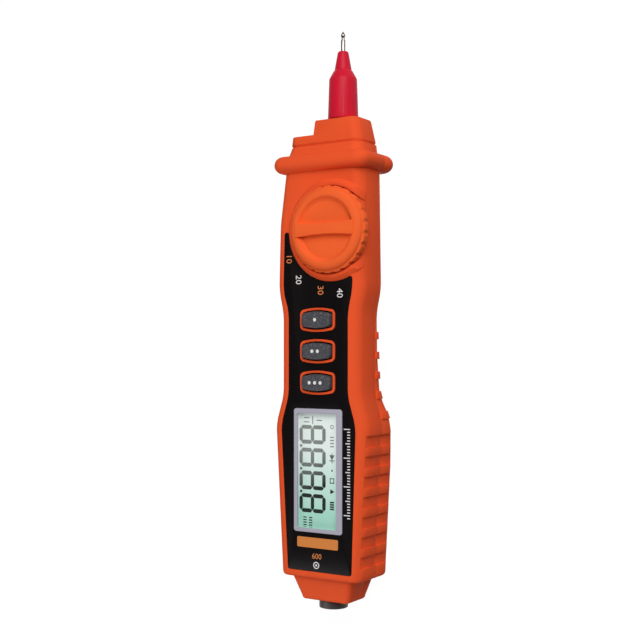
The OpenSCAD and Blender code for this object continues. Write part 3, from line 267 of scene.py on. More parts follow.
class StageLook(bpy.types.PropertyGroup):
    floor: colour_setting("Floor", "Colour of the floor", (0.38, 0.38, 0.38))
    key_power: power_setting("Key light", "Power of the soft key light, in watts", 9.0, "POWER")
    fill_power: power_setting("Fill light", "Power of the soft fill light, in watts", 5.0, "POWER")
    sky: power_setting("Sky", "Strength of the even light from all round", 0.08)
    yaw: angle_setting("Camera yaw", "How far the camera is turned to the meter's right side", 32)
    rise: angle_setting("Light rise", "How far the key light stands above the camera's axis", 30)
    distance: length_setting("Camera distance", "Distance from the camera to the meter", 396.4)
    drop: length_setting(
        "Floor drop", "How far the floor lies under the meter, for the lifted battery door", 14.5
    )


class MeterSettings(bpy.types.PropertyGroup):
    shell: bpy.props.PointerProperty(type=ShellLook, name="Shell", description="Housings and knob")
    panel: bpy.props.PointerProperty(type=PanelLook, name="Panel", description="Front panel")
    display: bpy.props.PointerProperty(type=DisplayLook, name="Display", description="Display")
    keys: bpy.props.PointerProperty(type=KeyLook, name="Keys", description="Rubber keys")
    probe: bpy.props.PointerProperty(type=ProbeLook, name="Probe", description="Probe and sleeve")
    inside: bpy.props.PointerProperty(type=InsideLook, name="Inside", description="Parts inside")
    stage: bpy.props.PointerProperty(type=StageLook, name="Stage", description="Floor and light")


# Shaders


class Value:
    """A shader socket that takes part in Python sums."""

    def __init__(self, finish, socket):
        self.finish, self.socket = finish, socket

    def _sum(self, operation, *terms):
        """A maths node fed with the terms, which are sockets or numbers."""
        return self.finish.node("ShaderNodeMath", {"operation": operation}, dict(enumerate(terms)))

    def __add__(self, other):
        return self._sum("ADD", self, other)

    def __radd__(self, other):
        return self._sum("ADD", other, self)

    def __sub__(self, other):
        return self._sum("SUBTRACT", self, other)

    def __rsub__(self, other):
        return self._sum("SUBTRACT", other, self)

    def __mul__(self, other):
        return self._sum("MULTIPLY", self, other)

    def __rmul__(self, other):
        return self._sum("MULTIPLY", other, self)

    def __gt__(self, other):
        return self._sum("GREATER_THAN", self, other)

    def __lt__(self, other):
        return self._sum("LESS_THAN", self, other)


class Finish:
    """A material, or a world, whose nodes are added one by one."""

    def __init__(self, name, world=False):
        self.owner = (bpy.data.worlds if world else bpy.data.materials).new(name)
        self.owner.use_nodes = True
        self.tree = self.owner.node_tree
        self.tree.nodes.clear()
        self.output = "ShaderNodeOutputWorld" if world else "ShaderNodeOutputMaterial"

    def node(self, kind, settings=None, sockets=None, out=0):
        """Adds a node, sets it up, fills its sockets and returns one of its outputs, if it has any."""
        made = self.tree.nodes.new(kind)
        for key, value in (settings or {}).items():
            setattr(made, key, value)
        for key, value in (sockets or {}).items():
            if isinstance(value, Value):
                self.tree.links.new(value.socket, made.inputs[key])
            else:
                made.inputs[key].default_value = value
        return Value(self, made.outputs[out]) if len(made.outputs) else None

    def place(self, stretch=(1, 1, 1)):
        """Object coordinates, stretched along each axis."""
        where = self.node("ShaderNodeTexCoord", out="Object")
        return self.node("ShaderNodeMapping", {}, {"Vector": where, "Scale": stretch})

    def noise(self, size, detail=2.0, stretch=(1, 1, 1), roughness=0.55):
        """Soft noise whose blobs are about that size, in metres."""
        return self.node("ShaderNodeTexNoise", {"noise_dimensions": "3D"}, {
            "Vector": self.place(stretch), "Scale": 1 / size, "Detail": detail,
            "Roughness": roughness,
        })

    def along(self, axis, low, high):
        """How far along an axis a point is, from 0 at low to 1 at high."""
        where = self.node("ShaderNodeTexCoord", out="Object")
        part = self.node("ShaderNodeSeparateXYZ", {}, {"Vector": where}, out=axis)
        return self.node("ShaderNodeMapRange", {"clamp": True}, {
            "Value": part, "From Min": low, "From Max": high, "To Min": 0.0, "To Max": 1.0,
        })

    def mix(self, share, first, second):
        """A colour between two, by share."""
        ends = [c if isinstance(c, Value) else (*c, 1) for c in (first, second)]
        return self.node(
            "ShaderNodeMix", {"data_type": "RGBA", "clamp_factor": True},
            {0: share, 6: ends[0], 7: ends[1]}, out=2,
        )

    def blend(self, share, first, second):
        """A shader between two, by share."""
        return self.node("ShaderNodeMixShader", {}, {0: share, 1: first, 2: second})

    def ray(self, kind):
        """1 for the rays of that kind, and 0 for others."""
        return self.node("ShaderNodeLightPath", out=f"Is {kind} Ray")

    def bump(self, height, depth):
        """A normal from a height of 0 to 1, as deep as depth."""
        sockets = {"Height": height, "Distance": depth, "Strength": 1.0}
        return self.node("ShaderNodeBump", {}, sockets)

    def end(self, shader):
        """Ends the nodes in a shader, and returns their material or world."""
        self.node(self.output, {}, {"Surface": shader})
        return self.owner

    def surface(self, **sockets):
        """Ends the material in one shader; a socket's name has _ for its spaces."""
        named = {key.replace("_", " "): value for key, value in sockets.items()}
        return self.end(self.node("ShaderNodeBsdfPrincipled", {}, named))


def moulded_plastic(name, colour, roughness, grain, depth, gloss=0.01):
    """Satin moulded plastic: fine spark texture, faint flow clouds and a little handling gloss."""
    f = Finish(name)
    cloud = f.noise(11 * MM, detail=3)
    flow = f.noise(3 * MM, detail=2, stretch=(1, 0.25, 1))
    spark = f.noise(grain, detail=3, roughness=0.6)
    base = f.mix(cloud * 0.5 + flow * 0.25, scaled(colour, 0.93), scaled(colour, 1.06))
    base = f.mix((spark - 0.5) * 0.5 + 0.2, base, scaled(colour, 0.88))
    return f.surface(
        Base_Color=base, Roughness=roughness + (cloud - 0.5) * 0.16 + (spark - 0.5) * 0.12,
        Normal=f.bump(spark, depth), Specular_IOR_Level=gloss,
    )


def panel_film(name, colour):
    """Dark printed film: low gloss, very fine orange peel, a few hairline rubs."""
    f = Finish(name)
    peel = f.noise(0.5 * MM, detail=2)
    rub = f.noise(0.35 * MM, detail=1, stretch=(1, 0.03, 1))
    base = f.mix(f.noise(6 * MM) * 0.6, colour, scaled(colour, 1.6))
    return f.surface(
        Base_Color=base, Roughness=0.4 + (rub > 0.66) * 0.12 + (peel - 0.5) * 0.1,
        Normal=f.bump(peel, 0.0015 * MM), Specular_IOR_Level=0.15,
    )


def printed_ink(name, colour):
    """Screen-printed ink: flat, faintly mottled."""
    f = Finish(name)
    mottle = f.noise(0.25 * MM, detail=2)
    return f.surface(
        Base_Color=f.mix(mottle, scaled(colour, 0.92), colour),
        Roughness=0.5 + (mottle - 0.5) * 0.2, Normal=f.bump(mottle, 0.002 * MM),
    )


def rubber(name, colour, speck, light=1.9):
    """Matt silicone rubber with fine specks, so many times lighter than the rubber."""
    f = Finish(name)
    grain = f.noise(speck, detail=4, roughness=0.7)
    cloud = f.noise(2.5 * MM)
    base = f.mix((grain - 0.52) * 5.0, scaled(colour, 0.75), scaled(colour, light))
    base = f.mix(cloud * 0.3, base, scaled(colour, 0.8))
    return f.surface(
        Base_Color=base, Roughness=0.62 + (grain - 0.5) * 0.3, Normal=f.bump(grain, 0.01 * MM),
        Specular_IOR_Level=0.35,
    )


def metal(name, colour, roughness, streak=(1, 1, 1)):
    """Plated or drawn metal: fine streaks and faint tarnish."""
    f = Finish(name)
    lines = f.noise(0.12 * MM, detail=3, stretch=streak)
    tarnish = f.noise(1.6 * MM, detail=3)
    base = f.mix(tarnish, scaled(colour, 0.82), colour)
    return f.surface(
        Base_Color=base, Metallic=1.0, Normal=f.bump(lines, 0.0015 * MM),
        Roughness=roughness + (lines - 0.5) * 0.18 + (tarnish - 0.5) * 0.12,
    )


def cell_wrap(name, look, start, end):
    """Printed wrap of a cell: a copper band, a pale line, then dark."""
    f = Finish(name)
    along = f.along("Y", min(start, end), max(start, end))
    far = along if start < end else 1.0 - along
    scuff = f.noise(0.8 * MM, detail=3, stretch=(1, 0.3, 1))
    band, line = 0.3, 0.01    # the band's end and half the line's width, as shares of the cell
    base = f.mix(far < band, look.wrap[:], look.wrap_band[:])
    base = f.mix((far > band - line) * (far < band + line), base, WRAP_LINE)
    return f.surface(
        Base_Color=f.mix(scuff * 0.3, base, scaled(look.wrap[:], 0.6)),
        Roughness=0.3 + (scuff - 0.5) * 0.2, Normal=f.bump(scuff, 0.002 * MM),
    )


def board_mask(name, colour):
    """Green solder mask over copper tracks."""
    f = Finish(name)
    tracks = f.node(
        "ShaderNodeTexVoronoi", {"feature": "DISTANCE_TO_EDGE", "distance": "EUCLIDEAN"},
        {"Vector": f.place((1, 1, 0.01)), "Scale": 1 / (2.2 * MM)},
    )
    track = tracks < 0.06
    weave = f.noise(0.3 * MM)
    base = f.mix(track, colour, scaled(colour, 1.7))
    return f.surface(
        Base_Color=f.mix(weave * 0.3, base, scaled(colour, 0.7)),
        Roughness=0.32 + (weave - 0.5) * 0.15, Normal=f.bump(track + weave * 0.2, 0.01 * MM),
    )


def display_sheet_painted_glow(name, look, low_y, high_y):
    """Reflective display glass: tinted from pale to green along its length, with a fine mesh and a
    faint painted glow.
    """
    f = Finish(name)
    along = f.along("Y", low_y, high_y)
    mesh = f.noise(0.12 * MM, detail=1)
    base = f.mix(along, look.low[:], look.high[:])
    base = f.mix(mesh * 0.12, base, scaled(look.low[:], 0.8))
    return f.surface(
        # Painted glow: the glass faintly emits its own tint, though it is no lamp.
        Base_Color=base, Emission_Color=base, Emission_Strength=0.25,
        Roughness=0.4 + (mesh - 0.5) * 0.1, Normal=f.bump(mesh, 0.001 * MM),
    )


def segment_ink(name, look):
    """Display segments, which darken down the display and towards its right."""
    f = Finish(name)
    along = f.along("Y", *(up(y) for y in FADE_Y))
    across = f.along("X", *(x * MM for x in FADE_X))
    mesh = f.noise(0.15 * MM, detail=1)
    base = f.mix(along * 1.15 - across * 0.35, look.dark[:], look.faint[:])
    return f.surface(
        Base_Color=f.mix(mesh * 0.04, base, look.low[:]), Roughness=0.6 + (mesh - 0.5) * 0.1,
        Specular_IOR_Level=0.1,
    )


def clear_sheet(name):
    """Clear moulded window: nearly invisible, glossy, with faint handling smears."""
    f = Finish(name)
    smear = f.noise(4 * MM, detail=3, stretch=(1, 0.4, 1))
    return f.surface(
        Base_Color=f.mix(smear, (0.1, 0.11, 0.11), (0.2, 0.2, 0.2)),
        Roughness=0.06 + smear * 0.06, Alpha=0.06,
    )


# Pieces


def finished(name, shape, body, material, replaces=(), smooth=30):
    """Makes a piece of a bmesh, smooth except at edges sharper than smooth degrees."""
    mesh = bpy.data.meshes.new(name)
    for face in shape.faces:
        face.smooth = True
    for edge in shape.edges:
        edge.smooth = len(edge.link_faces) == 2 and edge.calc_face_angle(0) < radians(smooth)
    shape.to_mesh(mesh)
    shape.free()
    mesh.materials.append(material)
    piece = bpy.data.objects.new(name, mesh)
    bpy.context.scene.collection.objects.link(piece)
    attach(piece, body)
    if replaces:
        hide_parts(*replaces)
    return piece


def merged(node):
    """A CAD node's shape as a bmesh of joined faces."""
    shape = bmesh.new()
    shape.from_mesh(frame["nodes"][node].data)
    bmesh.ops.remove_doubles(shape, verts=shape.verts, dist=MERGE)
    bmesh.ops.dissolve_degenerate(shape, dist=MERGE, edges=shape.edges)
    bmesh.ops.dissolve_limit(
        shape, angle_limit=radians(0.4), use_dissolve_boundaries=False,
        verts=shape.verts, edges=shape.edges,
    )
    return shape


def rounded(shape, width, sharper):
    """Rounds the edges of a shape that are sharper than an angle in degrees."""
    edges = [
        e for e in shape.edges if len(e.link_faces) == 2 and e.calc_face_angle(0) > radians(sharper)
    ]
    bmesh.ops.bevel(
        shape, geom=edges, offset=width, offset_type="OFFSET", segments=2, profile=0.5,
        affect="EDGES", clamp_overlap=True, material=-1,
    )
    return shape


def body_of(node):
    """The CAD body that a node belongs to."""
    bodies = frame["record"]["behaviour"]["bodies"]
    return next(name for name, nodes in bodies.items() if node in nodes)


def coat(node, material):
    """Gives a CAD node that stays as it is its material."""
    mesh = frame["nodes"][node].data
    mesh.materials.clear()
    mesh.materials.append(material)


def dress(node, width, material, sharper=32, smooth=40):
    """Replaces a CAD node by a copy with rounded edges."""
    shape = rounded(merged(node), width, sharper)
    return finished("dressed_" + node, shape, body_of(node), material, (node,), smooth)


def flat_face(shape, points, z):
    """Adds a face with that outline at a height."""
    face = shape.faces.new([shape.verts.new((x, y, z)) for x, y in points])
    face.normal_update()
    return face


def box_outline(low_x, low_y, high_x, high_y):
    """The corners of a rectangle."""
    return [(low_x, low_y), (high_x, low_y), (high_x, high_y), (low_x, high_y)]


def thicken(shape, faces, height):
    """Makes a plate of flat faces."""
    grown = bmesh.ops.extrude_face_region(shape, geom=faces)["geom"]
    corners = [g for g in grown if isinstance(g, bmesh.types.BMVert)]
    bmesh.ops.translate(shape, verts=corners, vec=(0, 0, height))


def hollowed(shape, face, width):
    """Leaves a ring of that width along a flat face's outline, and returns its faces."""
    faces = bmesh.ops.inset_region(shape, faces=[face], thickness=width, use_boundary=True)["faces"]
    bmesh.ops.delete(shape, geom=[face], context="FACES")
    return faces


def raise_outline(shape, points, low, high):
    """Adds a flat plate with that outline between two heights."""
    face = flat_face(shape, points, low)
    if face.normal.z > 0:
        face.normal_flip()
    thicken(shape, [face], high - low)


def bar(shape, x, y, width, length, low, high):
    """Adds a rectangular plate; its place on the front and its size are in millimetres."""
    x, y, w, l = x * MM, up(y), width * MM, length * MM
    raise_outline(shape, box_outline(x - w / 2, y - l / 2, x + w / 2, y + l / 2), low, high)


def disc(shape, x, y, r, low, high, sides=32, inner=0.0):
    """Adds a round plate, or a ring if it has an inner radius; all is in metres."""
    made = bmesh.ops.create_circle(
        shape, cap_ends=True, segments=sides, radius=r, matrix=Matrix.Translation((x, y, low))
    )
    face = made["verts"][0].link_faces[0]
    thicken(shape, hollowed(shape, face, r - inner) if inner else [face], high - low)
    bmesh.ops.recalc_face_normals(shape, faces=shape.faces)


def numeral(name, text, place, height, low, high, ink, turn=-pi / 2):
    """Makes a flat number centred on a place, which reads down the meter unless turned."""
    rise, digit_share = high - low, 0.7    # a digit's height as a share of the font's size
    curve = bpy.data.curves.new("numeral", "FONT")
    curve.body, curve.size, curve.extrude = text, height / digit_share, rise / 2
    curve.align_x, curve.align_y, curve.resolution_u = "CENTER", "CENTER", 3
    holder = bpy.data.objects.new("numeral", curve)
    bpy.context.scene.collection.objects.link(holder)
    bpy.context.view_layer.update()
    depsgraph = bpy.context.evaluated_depsgraph_get()
    mesh = bpy.data.meshes.new_from_object(holder.evaluated_get(depsgraph))
    bpy.data.objects.remove(holder)
    x, y = place
    mesh.transform(
        Matrix.Translation((x * MM, up(y), low + rise / 2)) @ Matrix.Rotation(turn, 4, "Z")
    )
    shape = bmesh.new()
    shape.from_mesh(mesh)
    bmesh.ops.remove_doubles(shape, verts=shape.verts, dist=MERGE)
    finished(name, shape, "meter", ink)


# Operators


class PENMETER_OT_housings(bpy.types.Operator):
    """Moulded housings and battery door"""

    bl_idname = "penmeter.housings"
    bl_label = "Housings"

    def execute(self, context):
        look = context.scene.pen_meter.shell
        plastic = moulded_plastic(
            "orange_plastic", look.colour[:], look.roughness, look.grain, look.grain_depth
        )
        for node in ("front_housing", "rear_housing", "battery_door"):
            dress(node, look.edge, plastic)
        return {"FINISHED"}


class PENMETER_OT_selector(bpy.types.Operator):
    """Selector knob with the switch parts under it"""

    bl_idname = "penmeter.selector"
    bl_label = "Selector"

    def execute(self, context):
        look = context.scene.pen_meter.shell
        # A lighter copy of the housings' orange: painted light on the knob.
        plastic = moulded_plastic(
            "knob_plastic_painted_light", look.knob[:], look.roughness, look.grain, look.grain_depth
        )
        dress("selector_knob", look.knob_edge, plastic)
        white = moulded_plastic("rotor_plastic", ROTOR_WHITE, 0.5, 0.3 * MM, 0.004 * MM)
        coat("switch_rotor", white)
        coat("rotor_wipers", metal("wiper_brass", BRASS, 0.3))
        steel = metal("switch_steel", SWITCH_STEEL, 0.28)
        for node in ("knob_screw", "detent_springs", "detent_balls"):
            coat(node, steel)
        return {"FINISHED"}


class PENMETER_OT_panel(bpy.types.Operator):
    """Front panel with its plain marks"""

    bl_idname = "penmeter.panel"
    bl_label = "Front panel"

    def execute(self, context):
        look = context.scene.pen_meter.panel
        film = panel_film("panel_film", look.film[:])
        dress("front_panel", EDGES["panel"] * MM, film)
        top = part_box("front_panel")[1].z
        low, high = top - SINK, top + look.print_rise
        light = printed_ink("light_print", look.print_light[:])
        warm = printed_ink("warm_print", look.print_warm[:])
        inks = {"light": light, "warm": warm}
        for text, x, y, ink in DIAL_MARKS:
            numeral("dial_mark_" + text, text, (x, y), look.mark_height, low, high, inks[ink])
        numeral("rating_mark", NUMBER, NUMBER_PLACE, NUMBER_HEIGHT * MM, low, high, warm, 0)

        shape = bmesh.new()
        for i in range(SCALE_TICKS):
            length = TICK_LENGTHS["tenth" if i % 10 == 0 else "fifth" if i % 5 == 0 else "other"]
            bar(shape, SCALE_EDGE - length / 2, SCALE_TOP - i, length, TICK_WIDTH, low, high)
        finished("panel_scale", shape, "meter", light)

        shape = bmesh.new()
        x, y = SOCKET_PLACE
        disc(shape, x * MM, up(y), SOCKET_RING * MM, low, high, inner=SOCKET_BORE * MM)
        disc(shape, x * MM, up(y), SOCKET_DOT * MM, low, high)
        finished("socket_mark", shape, "meter", light)

        shape = bmesh.new()
        bar(shape, *BADGE, low, high + BADGE_RISE * MM)
        corners = [e for e in shape.edges if abs((e.verts[0].co - e.verts[1].co).z) > MERGE]
        bmesh.ops.bevel(
            shape, geom=corners, offset=BADGE_CORNER * MM, segments=4, profile=0.5,
            affect="EDGES", material=-1,
        )
        badge = printed_ink("badge_ink", look.badge[:])
        finished("bare_badge", shape, "meter", badge)
        return {"FINISHED"}


class PENMETER_OT_display(bpy.types.Operator):
    """Display with its frame, window, segments and the parts under it"""

    bl_idname = "penmeter.display"
    bl_label = "Display"

    def execute(self, context):
        look = context.scene.pen_meter.display
        low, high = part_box("lcd_glass")
        plastic = moulded_plastic("frame_plastic", look.frame_colour[:], 0.4, 0.2 * MM, 0.003 * MM)
        dress("display_bezel", EDGES["bezel"] * MM, plastic)
        coat("display_window", clear_sheet("window_clear"))
        settled = low.y + TINT_INSETS[0] * MM, high.y - TINT_INSETS[1] * MM
        # This material has a painted glow, which the window's border below shares.
        sheet = display_sheet_painted_glow("display_sheet_painted_glow", look, *settled)
        coat("lcd_glass", sheet)
        white = moulded_plastic("white_plastic", WHITE, 0.5, 0.3 * MM, 0.003 * MM)
        for node in ("lcd_holder", "backlight_plate"):
            coat(node, white)
        coat("zebra_strips", rubber("strip_rubber", STRIP_GREY, 0.2 * MM))

        self.border(look, sheet)
        ink = segment_ink("segment_ink", look)
        root, top = high.z - SINK, high.z + SIGN_RISE * MM
        self.digits(look, ink, root, top)
        self.signs(ink, root, top)
        return {"FINISHED"}

    def border(self, look, sheet):
        """Border printed under the window over the glass's rim, tinted like the display and sharing
        its painted glow.
        """
        low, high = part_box("display_window")
        inset, thickness, overlap = 0.05 * MM, 0.03 * MM, 0.02 * MM
        outline = box_outline(low.x + inset, low.y + inset, high.x - inset, high.y - inset)
        shape = bmesh.new()
        face = flat_face(shape, outline, low.z - overlap)
        thicken(shape, hollowed(shape, face, look.border - inset), thickness)
        bmesh.ops.recalc_face_normals(shape, faces=shape.faces)
        finished("window_border", shape, "meter", sheet)

    def digits(self, look, ink, low, high):
        """Digits with every segment on, reading down the display."""
        w, h, s = look.digit_width, look.digit_height, look.stroke
        gap = SEGMENT_GAP * MM
        wide, tall = w - s - 2 * gap, (h - s) / 2 - 2 * gap
        shape = bmesh.new()
        for i in range(DIGIT_COUNT):
            x0, y0 = DIGIT_X * MM, up(DIGIT_TOP) - i * look.digit_pitch

            def segment(across, rise, flat, length):
                """One six-cornered segment; across runs down the display and rise to its right."""
                half, tip = s / 2, length / 2
                points = [
                    (-tip, 0), (-tip + half, half), (tip - half, half),
                    (tip, 0), (tip - half, -half), (-tip + half, -half),
                ]
                if not flat:
                    points = [(b, a) for a, b in points]
                outline = [(x0 + rise + b, y0 - across - a) for a, b in points]
                raise_outline(shape, outline, low, high)

            for rise in (s / 2, h / 2, h - s / 2):
                segment(w / 2, rise, True, wide)
            for across in (s / 2, w - s / 2):
                for rise in ((h - s) / 4 + s / 2, 3 * (h - s) / 4 + s / 2):
                    segment(across, rise, False, tall)
            if i < DIGIT_COUNT - 1:
                x, y = x0 + s / 2, y0 - w - POINT_DROP * MM
                disc(shape, x, y, POINT_RADIUS * MM, low, high, sides=16)
        finished("display_digits", shape, "meter", ink)

    def signs(self, ink, low, high):
        """Small plain signs beside the digits."""
        shape = bmesh.new()
        for place_and_size in SIGN_BARS:
            bar(shape, *place_and_size, low, high)
        column = SIGN_X * MM
        for corners in SIGN_TRIANGLES:
            raise_outline(shape, [(column + x * MM, up(y)) for x, y in corners], low, high)
        y, radius, inner = SIGN_RING
        disc(shape, column, up(y), radius * MM, low, high, inner=inner * MM, sides=24)
        y, radius = SIGN_DOT
        disc(shape, column, up(y), radius * MM, low, high, sides=16)
        finished("display_signs", shape, "meter", ink)


class PENMETER_OT_keys(bpy.types.Operator):
    """Rubber keys with their mat and contact pills"""

    bl_idname = "penmeter.keys"
    bl_label = "Keys"

    def execute(self, context):
        look = context.scene.pen_meter.keys
        skin = rubber("key_rubber", look.colour[:], look.speck, KEY_SPECK_LIGHT)
        ink = printed_ink("key_ink", context.scene.pen_meter.panel.print_light[:])
        pill = rubber("carbon_pill", CARBON, 0.2 * MM)
        for i, name in enumerate(("upper", "middle", "lower")):
            dress("key_" + name, EDGES["key"] * MM, skin, sharper=50, smooth=60)
            coat("pill_" + name, pill)
            low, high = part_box("key_" + name)
            y = (low.y + high.y) / 2
            shape = bmesh.new()
            for k in range(i + 1):
                x = (k - i / 2) * DOT_PITCH
                disc(shape, x, y, look.mark / 2, high.z - DOT_DEPTH, high.z + DOT_RISE)
            finished("key_mark_" + name, shape, name + "_key", ink)
        coat("keypad_mat", rubber("mat_rubber", MAT_GREY, 0.3 * MM))
        return {"FINISHED"}


class PENMETER_OT_probe(bpy.types.Operator):
    """Probe needle with its sleeve, contact strip and antenna"""

    bl_idname = "penmeter.probe"
    bl_label = "Probe"

    def execute(self, context):
        look = context.scene.pen_meter.probe
        sleeve = moulded_plastic("sleeve_red", look.sleeve[:], 0.36, 0.35 * MM, 0.003 * MM, 0.1)
        dress("probe_sleeve", EDGES["sleeve"] * MM, sleeve)
        self.needle(look)
        coat("probe_contact", metal("contact_brass", BRASS, 0.3))
        coat("ncv_antenna", metal("antenna_copper", COPPER, 0.35))
        return {"FINISHED"}

    def needle(self, look):
        """Turned needle: root in the sleeve, bare shaft, neck, and bead with a rounded point."""
        low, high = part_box("probe_needle")
        x, z, root = (low.x + high.x) / 2, (low.z + high.z) / 2, (high.x - low.x) / 2
        sleeve_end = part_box("probe_sleeve")[1].y
        bead_y = high.y - look.point
        neck_y, bend = bead_y - look.bead, look.bead / 4
        blunt = 1.35    # 1 for a cone, more for a rounder point
        profile = [
            (0, low.y), (root, low.y), (root, sleeve_end), (look.shaft, sleeve_end),
            (look.shaft, neck_y), (look.neck, neck_y + bend), (look.neck, bead_y - 2 * bend),
            (look.shaft, bead_y - bend),
        ]
        profile += [
            (look.shaft * (1 - share ** blunt), bead_y + share * look.point)
            for share in (0, 0.2, 0.4, 0.6, 0.8, 0.93, 1)
        ]
        shape = bmesh.new()
        verts = [shape.verts.new((x + radius, y, z)) for radius, y in profile]
        edges = [shape.edges.new(pair) for pair in zip(verts, verts[1:])]
        bmesh.ops.spin(
            shape, geom=verts + edges, cent=(x, 0, z), axis=(0, 1, 0), angle=2 * pi, steps=48,
            use_merge=True,
        )
        bmesh.ops.remove_doubles(shape, verts=shape.verts, dist=MERGE)
        bmesh.ops.recalc_face_normals(shape, faces=shape.faces)
        nickel = metal("needle_nickel", look.plating[:], 0.22, (1, 0.1, 1))
        finished("turned_probe_needle", shape, "meter", nickel, ("probe_needle",), 40)


class PENMETER_OT_socket(bpy.types.Operator):
    """Socket for the second lead"""

    bl_idname = "penmeter.socket"
    bl_label = "Socket"

    def execute(self, context):
        plastic = moulded_plastic("socket_black", SOCKET_BLACK, 0.4, 0.25 * MM, 0.004 * MM, 0.3)
        dress("com_jack", EDGES["jack"] * MM, plastic)
        coat("com_contact", metal("socket_nickel", SOCKET_NICKEL, 0.25, (1, 0.1, 1)))
        return {"FINISHED"}


class PENMETER_OT_board(bpy.types.Operator):
    """Circuit board and the parts on it"""

    bl_idname = "penmeter.board"
    bl_label = "Board"

    def execute(self, context):
        look = context.scene.pen_meter.inside
        coat("circuit_board", board_mask("board_green", look.board[:]))
        black = moulded_plastic("part_black", PART_BLACK, 0.45, 0.2 * MM, 0.004 * MM)
        for node in ("main_chip", "buzzer"):
            coat(node, black)
        ceramic = moulded_plastic("thermistor_ceramic", THERMISTOR_BLUE, 0.4, 0.3 * MM, 0.004 * MM)
        coat("thermistor", ceramic)
        coat("board_parts", moulded_plastic("part_ceramic", PART_BEIGE, 0.5, 0.2 * MM, 0.004 * MM))
        return {"FINISHED"}


class PENMETER_OT_cells(bpy.types.Operator):
    """Cells and their contacts"""

    bl_idname = "penmeter.cells"
    bl_label = "Cells"

    def execute(self, context):
        look = context.scene.pen_meter.inside
        for node, flipped in (("battery_left", False), ("battery_right", True)):
            low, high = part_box(node)
            start, end = (low.y, high.y) if flipped else (high.y, low.y)
            wrap = cell_wrap(node + "_wrap", look, start, end)
            dress(node, EDGES["cell"] * MM, wrap)
        steel = metal("contact_steel", CONTACT_STEEL, 0.25)
        for node in ("battery_link", "battery_contacts"):
            coat(node, steel)
        return {"FINISHED"}


class PENMETER_OT_screws(bpy.types.Operator):
    """Screws of the housings and the battery door"""

    bl_idname = "penmeter.screws"
    bl_label = "Screws"

    def execute(self, context):
        steel = metal("screw_steel", SCREW_STEEL, 0.3)
        for node in ("case_screws", "battery_door_screw"):
            dress(node, EDGES["screw"] * MM, steel)
        return {"FINISHED"}


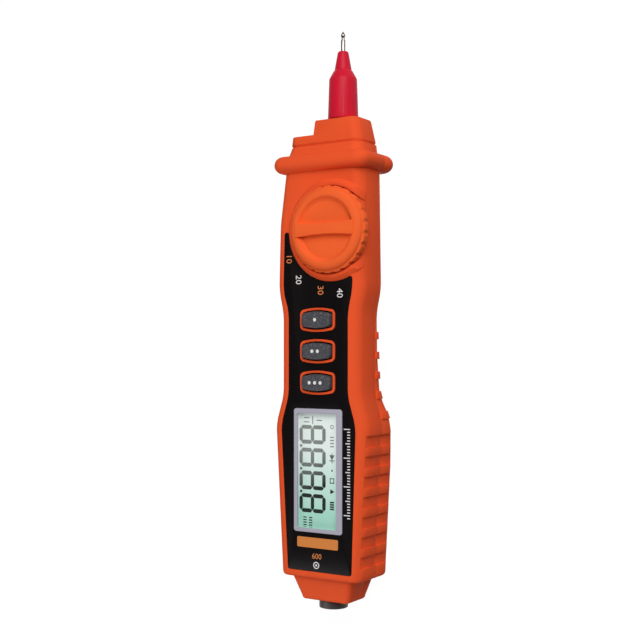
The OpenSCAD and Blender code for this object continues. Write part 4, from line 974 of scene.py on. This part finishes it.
class PENMETER_OT_stage(bpy.types.Operator):
    """Floor, soft light, white surround and the camera"""

    bl_idname = "penmeter.stage"
    bl_label = "Stage"

    def execute(self, context):
        look = context.scene.pen_meter.stage
        self.floor(context, look)
        self.surround(context, look)
        middle = Vector((0, up(AIM_Y), FRONT_Z * MM))
        toward = Vector((sin(look.yaw), 0, cos(look.yaw)))
        self.camera(context, look, middle + toward * look.distance)
        upper = Vector((0, up(LIT_Y), FRONT_Z * MM))
        above = Vector((toward.x * cos(look.rise), sin(look.rise), toward.z * cos(look.rise)))
        place = upper + above * KEY_DISTANCE
        self.lamp(context, "key_light", place, upper, KEY_SIZE, look.key_power)
        self.lamp(context, "fill_light", middle + FILL_OFFSET, middle, FILL_SIZE, look.fill_power)
        context.scene.view_settings.view_transform = "Standard"
        return {"FINISHED"}

    def camera(self, context, look, place):
        """The photo's camera, whose axis misses the middle of the picture a little."""
        lens = bpy.data.cameras.new("camera")
        lens.sensor_width, lens.lens = FILM, FILM * PHOTO_FOCAL / PHOTO_SIDE
        lens.shift_x = (PHOTO_SIDE / 2 - PHOTO_AXIS[0]) / PHOTO_SIDE
        lens.shift_y = (PHOTO_AXIS[1] - PHOTO_SIDE / 2) / PHOTO_SIDE
        lens.clip_start = NEAREST
        holder = bpy.data.objects.new("camera", lens)
        holder.matrix_world = Matrix.Translation(place) @ Matrix.Rotation(look.yaw, 4, "Y")
        context.scene.collection.objects.link(holder)
        context.scene.camera = holder

    def lamp(self, context, name, place, target, size, power):
        """A square soft light that faces a point."""
        light = bpy.data.lights.new(name, "AREA")
        light.shape, light.size, light.energy = "SQUARE", size, power
        holder = bpy.data.objects.new(name, light)
        turn = (target - place).to_track_quat("-Z", "Y").to_matrix().to_4x4()
        holder.matrix_world = Matrix.Translation(place) @ turn
        context.scene.collection.objects.link(holder)

    def floor(self, context, look):
        """Pale floor that looks white to the camera, and keeps the meter's shadow."""
        shape = bmesh.new()
        bmesh.ops.create_grid(
            shape, x_segments=1, y_segments=1, size=FLOOR_REACH,
            matrix=Matrix.Translation((0, 0, -look.drop)),
        )
        mesh = bpy.data.meshes.new("floor")
        shape.to_mesh(mesh)
        shape.free()
        ground = bpy.data.objects.new("floor", mesh)
        context.scene.collection.objects.link(ground)
        f = Finish("floor_white")
        mottle = f.noise(30 * MM)
        seen = f.ray("Camera") + f.ray("Glossy") * MIRROR_SHARE + f.ray("Transmission")
        share = f.node("ShaderNodeMath", {"operation": "MINIMUM"}, {0: seen, 1: 1.0}) * GLOW_SHARE
        base = f.mix(mottle * 0.2, look.floor[:], scaled(look.floor[:], 0.97))
        matt = f.node("ShaderNodeBsdfDiffuse", {}, {"Color": base})
        glow = f.node("ShaderNodeEmission", {}, {"Color": (1, 1, 1, 1), "Strength": FLOOR_GLOW})
        mesh.materials.append(f.end(f.blend(share, matt, glow)))

    def surround(self, context, look):
        """White to the camera, and a faint even light to everything else."""
        f = Finish("surround", world=True)
        even, white = (
            f.node("ShaderNodeBackground", {}, {"Color": (1, 1, 1, 1), "Strength": strength})
            for strength in (look.sky, 1.0)
        )
        context.scene.world = f.end(f.blend(f.ray("Camera"), even, white))


OPERATORS = (
    PENMETER_OT_stage,
    PENMETER_OT_housings,
    PENMETER_OT_selector,
    PENMETER_OT_panel,
    PENMETER_OT_display,
    PENMETER_OT_keys,
    PENMETER_OT_probe,
    PENMETER_OT_socket,
    PENMETER_OT_board,
    PENMETER_OT_cells,
    PENMETER_OT_screws,
)


class PENMETER_PT_pieces(bpy.types.Panel):
    """Lists the pieces of the pen meter"""

    bl_idname = "PENMETER_PT_pieces"
    bl_label = "Pen meter"
    bl_space_type = "VIEW_3D"
    bl_region_type = "UI"
    bl_category = "Pen meter"

    def draw(self, context):
        for operator in OPERATORS:
            self.layout.operator(operator.bl_idname)
        settings = context.scene.pen_meter
        for group in ("shell", "panel", "display", "keys", "probe", "inside", "stage"):
            box = self.layout.box()
            box.label(text=group.capitalize())
            look = getattr(settings, group)
            for name in look.__annotations__:
                box.prop(look, name)


CLASSES = (
    ShellLook, PanelLook, DisplayLook, KeyLook, ProbeLook, InsideLook, StageLook, MeterSettings,
    *OPERATORS, PENMETER_PT_pieces,
)


def register():
    """Registers the classes and gives every scene its settings."""
    for cls in CLASSES:
        bpy.utils.register_class(cls)
    bpy.types.Scene.pen_meter = bpy.props.PointerProperty(
        type=MeterSettings, name="Pen meter", description="Sizes and colours of the pen meter"
    )


def unregister():
    """Takes back what register did, in the other order."""
    del bpy.types.Scene.pen_meter
    for cls in reversed(CLASSES):
        bpy.utils.unregister_class(cls)


def main():
    """Builds the meter."""
    register()
    for operator in OPERATORS:
        group, name = operator.bl_idname.split(".")
        getattr(getattr(bpy.ops, group), name)()


if __name__ == "__main__":
    main()
